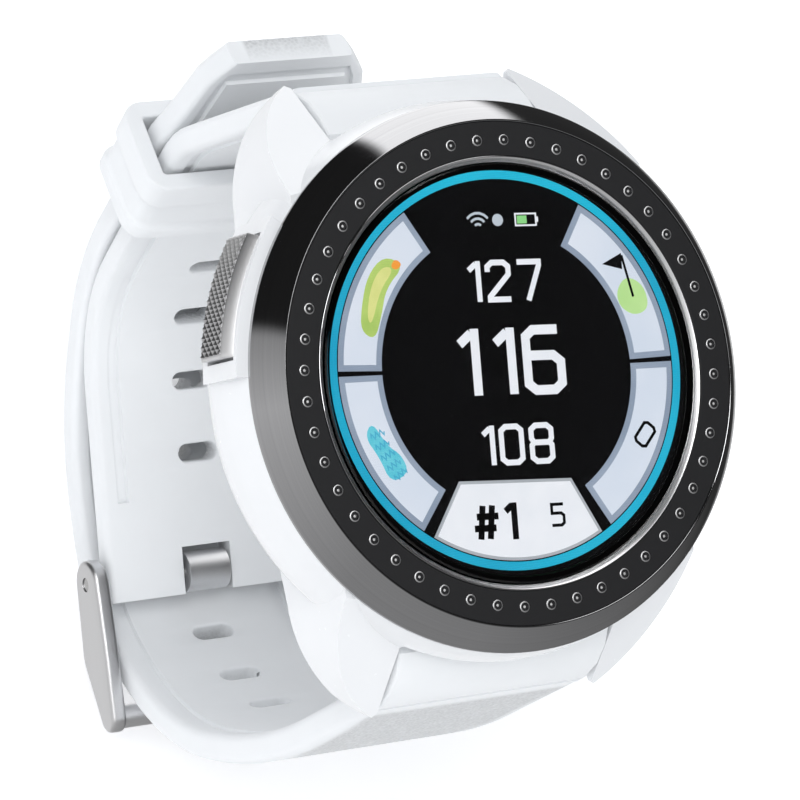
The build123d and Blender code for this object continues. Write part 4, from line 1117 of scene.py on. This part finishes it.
# plain numerals on a grid 1 wide and 2 high, as lines with cut corners
CUT = 0.22
DIGIT_STRETCH = 1.28
DIGITS = {
    "0": [([(CUT, 0), (1 - CUT, 0), (1, CUT), (1, 2 - CUT),
            (1 - CUT, 2), (CUT, 2), (0, 2 - CUT), (0, CUT)], True)],
    "1": [([(0.6, 2.1), (0.6, -0.1)], False), ([(0.15, 1.6), (0.5, 1.95)], False)],
    "2": [([(0, 1.5), (0, 2 - CUT), (CUT, 2), (1 - CUT, 2), (1, 2 - CUT), (1, 1.35),
            (0.05, 0.15), (0.05, 0), (1.05, 0)], False)],
    "5": [([(1, 2), (0, 2), (0, 1.15), (1 - CUT, 1.15), (1, 1.15 - CUT),
            (1, CUT), (1 - CUT, 0), (-0.05, 0)], False)],
    "6": [([(0.95, 2), (CUT, 2), (0, 2 - CUT), (0, CUT), (CUT, 0), (1 - CUT, 0), (1, CUT),
            (1, 1.15 - CUT), (1 - CUT, 1.15), (0, 1.15)], False)],
    "7": [([(-0.05, 2), (1, 2), (1, 1.8), (0.4, -0.1)], False)],
    "8": [([(CUT, 0), (1 - CUT, 0), (1, CUT), (1, 1 - CUT / 2), (0.88, 1.05), (1, 1.05 + CUT),
            (1, 2 - CUT), (1 - CUT, 2), (CUT, 2), (0, 2 - CUT), (0, 1.05 + CUT), (0.12, 1.05),
            (0, 1 - CUT / 2), (0, CUT)], True),
          ([(0.1, 1.05), (0.9, 1.05)], False)],
    "#": [([(0.25, 0), (0.45, 2)], False), ([(0.75, 0), (0.95, 2)], False),
          ([(-0.05, 0.65), (1.1, 0.65)], False), ([(0.1, 1.35), (1.25, 1.35)], False)],
}


def number(name, text, middle, size, weight, height, thickness=0.02):
    """A row of wide numerals about a middle point; size is their height."""
    unit = size / 2
    unit_x = unit * DIGIT_STRETCH
    advance = {"1": 1.05}
    widths = [advance.get(sign, 1.5) * unit_x for sign in text]
    start = middle[0] - (sum(widths) - 0.5 * unit_x) / 2
    low = middle[1] - size / 2
    lines = []
    for sign, wide in zip(text, widths):
        for points, closed in DIGITS[sign]:
            spots = [(start + x * unit_x, low + y * unit) for x, y in points]
            lines.append(stroke(name, spots, weight, height, thickness, closed))
        start += wide
    return join(lines)


class WATCH_OT_face(bpy.types.Operator):
    """Build the display: its black panel, glowing rim, sectors, plain numbers and small pictures"""

    bl_idname = "watch.face"
    bl_label = "Display"

    def execute(self, context):
        light = look().screen_light
        self.turn = Matrix.Translation((*FACE_SHIFT, 0)) @ Matrix.Rotation(math.radians(FACE_TURN), 4, "Z")
        self.white = lit("screen_white", (0.80, 0.84, 0.9), (0.93, 0.95, 1.0), light)
        self.black = grained("screen_black", (0.004, 0.004, 0.005), 0.15, 1.0, 0.001)
        self.black.node_tree.nodes["Principled BSDF"].inputs["Specular IOR Level"].default_value = 0.1
        self.panel()
        self.rim(light)
        self.sectors(light)
        self.pictures(light)
        self.numbers()
        return {"FINISHED"}

    def lay(self, piece, name, materials, turn=True):
        """Name a lit piece, turn it with the picture, and tie it to the watch."""
        piece.name = name
        if turn:
            place(piece, self.turn)
        for material in materials:
            piece.data.materials.append(material)
        smooth(piece, 30)
        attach(piece, WATCH)

    def panel(self):
        low, top = PANEL_LOW.z, PANEL_HIGH.z - 0.08
        profile = [(0, low), (PANEL_R, low), (PANEL_R, top - 0.05), (PANEL_R - 0.05, top), (0, top)]
        piece = spin("display_glass_panel", profile, 128, closed=False)
        finish_piece(piece, self.black, WATCH, "display", ["display_panel"], 30)
        self.base = top

    def rim(self, light):
        piece = face_sheet("rim", self.base, 0.01, GLOW_IN, GLOW_OUT, 0, 360, 144)
        glow = lit("screen_blue_glow", (0.0, 0.22, 0.45), (0.02, 0.66, 0.86), light, 0.05)
        self.lay(piece, "display_blue_rim", [glow])

    def sectors(self, light):
        pale = lit("screen_pale_blue", (0.60, 0.69, 0.82), (0.84, 0.88, 0.96), light, 0.12)
        edge = lit("screen_sector_edge", (0.20, 0.26, 0.36), (0.38, 0.45, 0.56), light, 0.2)
        plate_edge = lit("screen_plate_edge", (0.35, 0.38, 0.42), (0.5, 0.53, 0.57), light, 0.2)
        gap = 1.6
        for name, low, high in (
            ("display_sector_green", 123.0, 179.4 - gap / 2),
            ("display_sector_water", 179.4 + gap / 2, 236.5 - gap),
            ("display_sector_zero", 301.5 + gap, 361.5 - gap / 2),
            ("display_sector_flag", 361.5 + gap / 2, 419.5),
        ):
            piece = face_sheet(name, self.base, 0.012, SECTOR_IN, SECTOR_OUT, low, high, 24, 0.5, 0.012)
            self.lay(piece, name, [pale, edge])
        middle = math.radians(269)

        def chord(angle):
            return PLATE_TOP / math.cos(angle - middle)

        piece = face_sheet("plate", self.base, 0.012, chord, SECTOR_OUT, 238.75, 299.25, 24, 0.25, 0.012)
        self.lay(piece, "display_white_plate", [self.white, plate_edge])

    def pictures(self, light):
        top = self.base + 0.03
        green = lit("screen_green", (0.30, 0.50, 0.10), (0.62, 0.78, 0.22), light)
        lime = lit("screen_lime", (0.42, 0.72, 0.25), (0.60, 0.86, 0.38), light)
        cyan = lit("screen_cyan", (0.05, 0.50, 0.66), (0.22, 0.72, 0.82), light, 1.2)
        orange = lit("screen_orange", (0.9, 0.25, 0.03), (1.0, 0.45, 0.06), light)
        dark = self.black
        at = self.polar
        hole = blob("hole", [at(12.3, 135), at(14.2, 138), at(14.5, 147), at(14.0, 157), at(13.6, 165),
                             at(12.2, 167), at(12.1, 157), at(12.6, 147)], top, 0.01)
        self.lay(hole, "display_hole_shape", [green])
        inner = blob("fairway", [at(12.8, 139), at(13.8, 141), at(13.9, 149),
                                 at(13.3, 160), at(12.7, 162), at(13.0, 149)], top + 0.01, 0.008)
        yellow = lit("screen_yellow", (0.62, 0.68, 0.20), (0.85, 0.85, 0.35), light)
        self.lay(inner, "display_fairway", [yellow])
        tip = blob("tip", [at(12.5, 135.5), at(13.3, 136), at(13.2, 139.5), at(12.6, 139)], top + 0.02, 0.006)
        self.lay(tip, "display_hole_mark", [orange])
        water = blob("water", [at(13.3, 196), at(14.4, 200), at(14.0, 208), at(14.4, 217), at(12.6, 219),
                               at(12.2, 212), at(12.9, 206)], top, 0.01)
        self.lay(water, "display_water_shape", [cyan])
        waves = []
        for row in range(5):
            spots = [at(12.6 + 1.3 * step / 12, 201 + 4 * row + 1.1 * math.sin(step * 1.6))
                     for step in range(13)]
            waves.append(stroke("wave", spots, 0.1, top + 0.01, 0.006))
        wave_blue = lit("screen_wave_blue", (0.02, 0.33, 0.55), (0.1, 0.5, 0.7), light)
        self.lay(join(waves), "display_water_waves", [wave_blue])
        patch = blob("patch", [at(11.9, 24), at(12.9, 18), at(14.5, 18.5),
                               at(14.9, 26), at(13.9, 32), at(12.4, 30)], top, 0.01)
        self.lay(patch, "display_flag_green", [lime])
        pole = stroke("pole", [at(13.5, 24.5), at(14.6, 38.2)], 0.22, top + 0.012, 0.008)
        pennant = blob("pennant", [at(14.7, 38.8), at(12.7, 41.0), at(13.9, 34.5)], top + 0.012, 0.008, 0)
        self.lay(join([pole, pennant]), "display_flag", [dark])
        icon = lit("screen_icon_grey", (0.45, 0.52, 0.60), (0.60, 0.66, 0.72), light)
        dot = blob("dot", self.disc((0.15, 12.15), 0.5), self.base, 0.01, 0)
        self.lay(dot, "display_icon_dot", [icon])
        arcs = []
        for radius in (0.35, 0.8, 1.25):
            spots = [(-1.7 + radius * math.cos(math.radians(a)), 11.5 + radius * math.sin(math.radians(a)))
                     for a in range(40, 141, 20)]
            arcs.append(stroke("arc", spots, 0.2, self.base, 0.01))
        self.lay(join(arcs), "display_icon_signal", [icon])
        wide, high = 1.9, 0.95
        middle_x, middle_y = 2.75, 12.15
        left, right = middle_x - wide / 2, middle_x + wide / 2
        low, high_y = middle_y - high / 2, middle_y + high / 2
        frame_line = stroke("cell", [(left, low), (right, low), (right, high_y), (left, high_y)],
                            0.14, self.base, 0.01, closed=True)
        nub = stroke("nub", [(right + 0.15, middle_y - 0.22), (right + 0.15, middle_y + 0.22)],
                     0.14, self.base, 0.01)
        self.lay(join([frame_line, nub]), "display_icon_cell", [self.white])
        level = stroke("level", [(left + 0.15, middle_y), (middle_x + 0.1, middle_y)],
                       high - 0.3, self.base, 0.01)
        charge = lit("screen_charge", (0.2, 0.6, 0.2), (0.35, 0.8, 0.3), light)
        self.lay(level, "display_icon_charge", [charge])

    def numbers(self):
        base = self.base
        self.lay(number("near", "127", (0.2, 7.2), 3.0, 0.46, base), "display_number_top", [self.white])
        self.lay(number("mid", "116", (0.1, 0.7), 4.9, 0.78, base), "display_number_middle", [self.white])
        self.lay(number("far", "108", (0.2, -6.05), 2.9, 0.46, base), "display_number_bottom", [self.white])
        plate = base + 0.03
        hole = number("hole", "#1", (-2.4, -12.2), 2.7, 0.55, plate, 0.01)
        self.lay(hole, "display_number_hole", [self.black])
        self.lay(number("par", "5", (3.5, -11.9), 1.7, 0.26, plate, 0.01), "display_number_par", [self.black])
        zero = number("zero", "0", (0, 0), 1.9, 0.26, plate, 0.01)
        x, y = self.polar(13.6, 335)
        place(zero, Matrix.Translation((x, y, 0)) @ Matrix.Rotation(math.radians(-40), 4, "Z"))
        self.lay(zero, "display_number_zero", [self.black])

    @staticmethod
    def polar(radius, degrees):
        return (radius * math.cos(math.radians(degrees)), radius * math.sin(math.radians(degrees)))

    @staticmethod
    def disc(middle, radius, count=20):
        turns = [math.tau * index / count for index in range(count)]
        return [(middle[0] + radius * math.cos(turn), middle[1] + radius * math.sin(turn)) for turn in turns]


# ================================================================ button
class WATCH_OT_button(bpy.types.Operator):
    """Model the side button's cap flat, with a diamond knurl, and wrap it round the case"""

    bl_idname = "watch.button"
    bl_label = "Side button"

    def execute(self, context):
        low, high = CAP_LOW.z, CAP_HIGH.z
        wide = math.radians(BUTTON_SPAN) * BUTTON_R
        body = slab("button_knurled_cap", (wide, BUTTON_T, high - low), (0, -BUTTON_T / 2, (low + high) / 2))
        edit(body, "EDGE", lambda a, b: min(a.y, b.y) > -0.1 and min(a.z, b.z) > high - 0.1)
        bpy.ops.mesh.bevel(offset=BUTTON_CHAMFER * MM, segments=1, affect="EDGES")
        bpy.ops.object.mode_set(mode="OBJECT")
        step = wide / 24
        edit_all(body)
        for index in range(1, 24):
            bpy.ops.mesh.select_all(action="SELECT")
            bpy.ops.mesh.bisect(plane_co=((index * step - wide / 2) * MM, 0, 0), plane_no=(1, 0, 0))
        bpy.ops.object.mode_set(mode="OBJECT")
        soften(body, 0.12 * MM, 2, 30)
        top = high - BUTTON_CHAMFER - 0.1
        bottom = low + 0.15
        knurl = self.diamonds(wide - 0.5, bottom, top)
        piece = join([body, knurl])
        # mask for the knurl's painted shade: 0 in the hollows, rising to 1 at the crests and outside the
        # knurl
        hollow_shade_mask = piece.data.attributes.new("hollow_shade_mask", "FLOAT", "POINT")
        for vertex, value in zip(piece.data.vertices, hollow_shade_mask.data):
            spot = vertex.co / MM
            in_knurl = bottom - 0.1 < spot.z < top + 0.1 and spot.y > -0.02 and abs(spot.x) < wide / 2 - 0.2
            value.value = min(1, max(0, spot.y / (shape().knurl_depth / MM))) if in_knurl else 1
        turn = math.radians(BUTTON_ANGLE)
        for vertex in piece.data.vertices:
            spot = vertex.co / MM
            angle = turn - spot.x / BUTTON_R
            radius = BUTTON_R + spot.y - shape().knurl_depth / MM * 0.7
            vertex.co = Vector((radius * math.cos(angle), radius * math.sin(angle), spot.z)) * MM
        edit_all(piece)
        outwards()
        material = brushed_steel("button_bright_steel", look().steel_colour, 0.42, (1, 1, 6), "hollow_shade_mask")
        finish_piece(piece, material, "side_button", "button_steel", ["button_cap"], 25)
        return {"FINISHED"}

    def diamonds(self, wide, bottom, top):
        """A sheet of small pyramids on a turned grid, with skirts into the cap."""
        size = 1.5 * wide
        count = round(size / KNURL_PITCH)
        leave_edit()
        bpy.ops.mesh.primitive_grid_add(x_subdivisions=count, y_subdivisions=count, size=size * MM)
        sheet = bpy.context.object
        middle = (bottom + top) / 2
        place(sheet, Matrix.Translation((0, 0, middle)) @ Matrix.Rotation(math.radians(90), 4, "X")
              @ Matrix.Rotation(math.radians(45), 4, "Z"))
        edit_all(sheet)
        bpy.ops.mesh.poke(offset=-shape().knurl_depth)
        for spot, way in (((wide / 2, 0, 0), (1, 0, 0)), ((-wide / 2, 0, 0), (-1, 0, 0)),
                          ((0, 0, top), (0, 0, 1)), ((0, 0, bottom), (0, 0, -1))):
            bpy.ops.mesh.select_all(action="SELECT")
            bpy.ops.mesh.bisect(plane_co=[value * MM for value in spot], plane_no=way, clear_outer=True)
        bpy.ops.mesh.select_all(action="SELECT")
        bpy.ops.mesh.extrude_region_move(TRANSFORM_OT_translate={"value": (0, -0.3 * MM, 0)})
        bpy.ops.object.mode_set(mode="OBJECT")
        return sheet


# ================================================================ springs
class WATCH_OT_springs(bpy.types.Operator):
    """Copy the button's and the spring bars' coils as merged, smooth-shaded pieces"""

    bl_idname = "watch.springs"
    bl_label = "Springs"

    def execute(self, context):
        turn = math.radians(BUTTON_ANGLE)
        out = Vector((math.cos(turn), math.sin(turn), 0))
        self.coil("button_springs", "side_button_press", out, out * BUTTON_SPRING_SEAT, BUTTON_SPRING_KEEP)
        for name in ("upper", "lower"):
            node = f"{name}_bar_spring"
            high = span(node)[1]
            self.coil(node, f"{name}_bar_release", Vector((1, 0, 0)), high, BAR_SPRING_KEEP)
        return {"FINISHED"}

    def coil(self, node, joint, along, seat, keep):
        """A merged, smooth-shaded copy of a spring's CAD piece, with its material, tied to the watch; the
        seat and joint are not used.
        """
        source = frame["nodes"][node]
        entry = next(entry for entry in frame["record"]["subparts"] if entry["node"] == node)
        piece = source.copy()
        piece.data = source.data.copy()
        piece.name = f"{node}_coil"
        bpy.context.collection.objects.link(piece)
        edit_all(piece)
        bpy.ops.mesh.remove_doubles(threshold=0.001 * MM)
        bpy.ops.object.mode_set(mode="OBJECT")
        finish_piece(piece, source.data.materials[0], WATCH, entry["material_slot"], [node], 40)
        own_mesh(piece)


# ================================================================ carried-over pieces
class WATCH_OT_carried(bpy.types.Operator):
    """Give the CAD pieces that stay their materials"""

    bl_idname = "watch.carried"
    bl_label = "Case, buckle and inner pieces"

    def execute(self, context):
        pins = brushed_steel("pin_turned_steel", (0.5, 0.5, 0.5), 0.25, (0.3, 3, 3))
        rubber = grained("seal_black_rubber", (0.03, 0.03, 0.03), 0.6, 3.0)
        plastic = grained("inner_dark_moulding", (0.09, 0.09, 0.1), 0.5)
        by_slot = {
            "case_white": white_moulding(look().case_colour),
            "lens_glass": clear_glass(),
            "back_black": grained("case_back_moulding", (0.03, 0.03, 0.034), 0.5, 4.0),
            "contact_gold": grained("contact_gold_plate", (0.8, 0.6, 0.25), 0.25, 2.0, 0.002, 1.0),
            "seal_rubber": rubber,
            "inner_plastic": plastic,
            "pin_steel": pins,
            "buckle_steel": satin_steel(),
            "board_green": grained("board_green_mask", (0.02, 0.13, 0.06), 0.35),
            "tin_plate": grained("shield_tin_plate", (0.65, 0.65, 0.62), 0.35, 1.0, 0.005, 1.0),
            "ceramic": grained("antenna_ceramic", (0.68, 0.62, 0.5), 0.6),
            "battery_foil": grained("battery_foil", (0.68, 0.68, 0.7), 0.35, 0.5, 0.03, 1.0),
            "flex_amber": grained("flex_amber_film", (0.5, 0.24, 0.04), 0.35),
        }
        for entry in frame["record"]["subparts"]:
            material = by_slot.get(entry["material_slot"])
            if not material:
                continue
            piece = frame["nodes"][entry["node"]]
            piece.data.materials.clear()
            piece.data.materials.append(material)
        return {"FINISHED"}


# ================================================================ stage
# light that only reflections see, from 0 to 1, by degrees anticlockwise from 3 o'clock
PANELS = [
    (-180, 0.4), (-165, 0.35), (-120, 0.22), (-78, 0.2), (-40, 0.12), (-13, 0.02), (50, 0.02), (54, 0.95),
    (86, 0.95), (89, 0.01), (153, 0.01), (157, 0.25), (180, 0.4),
]
TABLE_EDGE = -0.68       # how steeply down a reflection must look to see the pale table
TABLE_LIGHT = 0.42


def softbox(name, spot, size, power, mirrored=True):
    """An area light pointed at the watch, at a place in metres; polished metal may not see it."""
    light = bpy.data.lights.new(name, "AREA")
    light.shape = "RECTANGLE"
    light.size, light.size_y = size
    light.energy = power
    lamp = bpy.data.objects.new(name, light)
    bpy.context.collection.objects.link(lamp)
    lamp.location = spot
    lamp.rotation_euler = (-Vector(spot)).to_track_quat("-Z", "Y").to_euler()
    lamp.visible_glossy = mirrored


class WATCH_OT_stage(bpy.types.Operator):
    """Add the floor, the lights and the camera"""

    bl_idname = "watch.stage"
    bl_label = "Stage"

    def execute(self, context):
        leave_edit()
        bpy.ops.mesh.primitive_plane_add(size=6, location=(0, 0, FLOOR_Z * MM))
        floor = bpy.context.object
        floor.name = "studio_floor"
        paper, tree, shader = new_material("studio_paper", (0.86, 0.86, 0.87), 0.85)
        cloud = noise(tree, coordinates(tree), 0.01)
        shade = tint(tree, cloud, (0.93, 0.93, 0.94), (0.94, 0.94, 0.95))
        tree.links.new(shade, shader.inputs["Base Color"])
        shader.inputs["Emission Color"].default_value = (1, 1, 1, 1)
        shader.inputs["Emission Strength"].default_value = 0.25
        floor.data.materials.append(paper)
        floor.visible_glossy = False
        context.scene.view_settings.view_transform = "Standard"
        self.studio(context.scene)
        softbox("key", (-0.35, 0.25, 0.75), (0.5, 0.5), 4)
        softbox("fill", (0.6, -0.3, 0.45), (0.4, 0.6), 1.5, False)
        softbox("front", (-0.3, -0.6, 0.3), (0.6, 0.3), 1.5, False)
        camera = bpy.data.cameras.new("camera")
        camera.lens = FOCAL
        camera.sensor_width = 36
        camera.clip_start = 0.01
        eye = bpy.data.objects.new("camera", camera)
        bpy.context.collection.objects.link(eye)
        right = Vector(EYE_RIGHT).normalized()
        back_way = Vector(EYE_BACK).normalized()
        up = back_way.cross(right)
        turn = Matrix((right, up, back_way)).transposed().to_4x4()
        eye.matrix_world = Matrix.Translation(EYE) @ turn
        context.scene.camera = eye
        return {"FINISHED"}

    def studio(self, scene):
        """An even pale room, which polished metal sees as panels of light and dark around the watch."""
        world = bpy.data.worlds.new("studio")
        scene.world = world
        world.use_nodes = True
        tree = world.node_tree
        room = tree.nodes["Background"]
        room.inputs["Color"].default_value = (0.93, 0.96, 1.0, 1)
        room.inputs["Strength"].default_value = 0.54
        where = tree.nodes.new("ShaderNodeTexCoord")
        parts = tree.nodes.new("ShaderNodeSeparateXYZ")
        tree.links.new(where.outputs["Generated"], parts.inputs["Vector"])
        bearing = tree.nodes.new("ShaderNodeMath")
        bearing.operation = "ARCTAN2"
        tree.links.new(parts.outputs["Y"], bearing.inputs[0])
        tree.links.new(parts.outputs["X"], bearing.inputs[1])
        turn = tree.nodes.new("ShaderNodeMapRange")
        turn.inputs["From Min"].default_value = -math.pi
        turn.inputs["From Max"].default_value = math.pi
        tree.links.new(bearing.outputs["Value"], turn.inputs["Value"])
        ramp = tree.nodes.new("ShaderNodeValToRGB")
        stops = ramp.color_ramp.elements
        stops[0].position, stops[0].color = 0, (*[PANELS[0][1]] * 3, 1)
        stops[1].position, stops[1].color = 1, (*[PANELS[-1][1]] * 3, 1)
        for degrees, light in PANELS[1:-1]:
            stop = stops.new((degrees + 180) / 360)
            stop.color = (light, light, light, 1)
        tree.links.new(turn.outputs["Result"], ramp.inputs["Fac"])
        panels = tree.nodes.new("ShaderNodeBackground")
        panels.inputs["Strength"].default_value = 2.0
        table = tree.nodes.new("ShaderNodeMapRange")
        table.inputs["From Min"].default_value = TABLE_EDGE
        table.inputs["From Max"].default_value = TABLE_EDGE - 0.1
        tree.links.new(parts.outputs["Z"], table.inputs["Value"])
        below = tree.nodes.new("ShaderNodeMix")
        below.data_type = "RGBA"
        below.inputs["B"].default_value = (*[TABLE_LIGHT] * 3, 1)
        tree.links.new(table.outputs["Result"], below.inputs["Factor"])
        tree.links.new(ramp.outputs["Color"], below.inputs["A"])
        tree.links.new(below.outputs["Result"], panels.inputs["Color"])
        path = tree.nodes.new("ShaderNodeLightPath")
        mix = tree.nodes.new("ShaderNodeMixShader")
        tree.links.new(path.outputs["Is Glossy Ray"], mix.inputs["Fac"])
        tree.links.new(room.outputs["Background"], mix.inputs[1])
        tree.links.new(panels.outputs["Background"], mix.inputs[2])
        tree.links.new(mix.outputs["Shader"], tree.nodes["World Output"].inputs["Surface"])


class WATCH_PT_sidebar(bpy.types.Panel):
    """The watch's operators and settings in the 3D view's sidebar"""

    bl_idname = "WATCH_PT_sidebar"
    bl_label = "Golf GPS watch"
    bl_space_type = "VIEW_3D"
    bl_region_type = "UI"
    bl_category = "Watch"

    def draw(self, context):
        for group in (context.scene.watch_look, context.scene.watch_shape):
            for name in group.bl_rna.properties.keys():
                if name not in ("rna_type", "name"):
                    self.layout.prop(group, name)
        for step in STEPS:
            self.layout.operator(step.bl_idname)


STEPS = (
    WATCH_OT_carried,
    WATCH_OT_straps,
    WATCH_OT_keeper,
    WATCH_OT_buckle,
    WATCH_OT_springs,
    WATCH_OT_bezel,
    WATCH_OT_face,
    WATCH_OT_button,
    WATCH_OT_stage,
)
CLASSES = (WatchLook, WatchShape, *STEPS, WATCH_PT_sidebar)


def register():
    for item in CLASSES:
        bpy.utils.register_class(item)
    bpy.types.Scene.watch_look = PointerProperty(type=WatchLook)
    bpy.types.Scene.watch_shape = PointerProperty(type=WatchShape)


def unregister():
    del bpy.types.Scene.watch_shape
    del bpy.types.Scene.watch_look
    for item in reversed(CLASSES):
        bpy.utils.unregister_class(item)


def main():
    register()
    leave_edit()
    bpy.ops.watch.carried()
    bpy.ops.watch.straps()
    bpy.ops.watch.keeper()
    bpy.ops.watch.buckle()
    bpy.ops.watch.springs()
    bpy.ops.watch.bezel()
    bpy.ops.watch.face()
    bpy.ops.watch.button()
    bpy.ops.watch.stage()
    leave_edit()


if __name__ == "__main__":
    main()
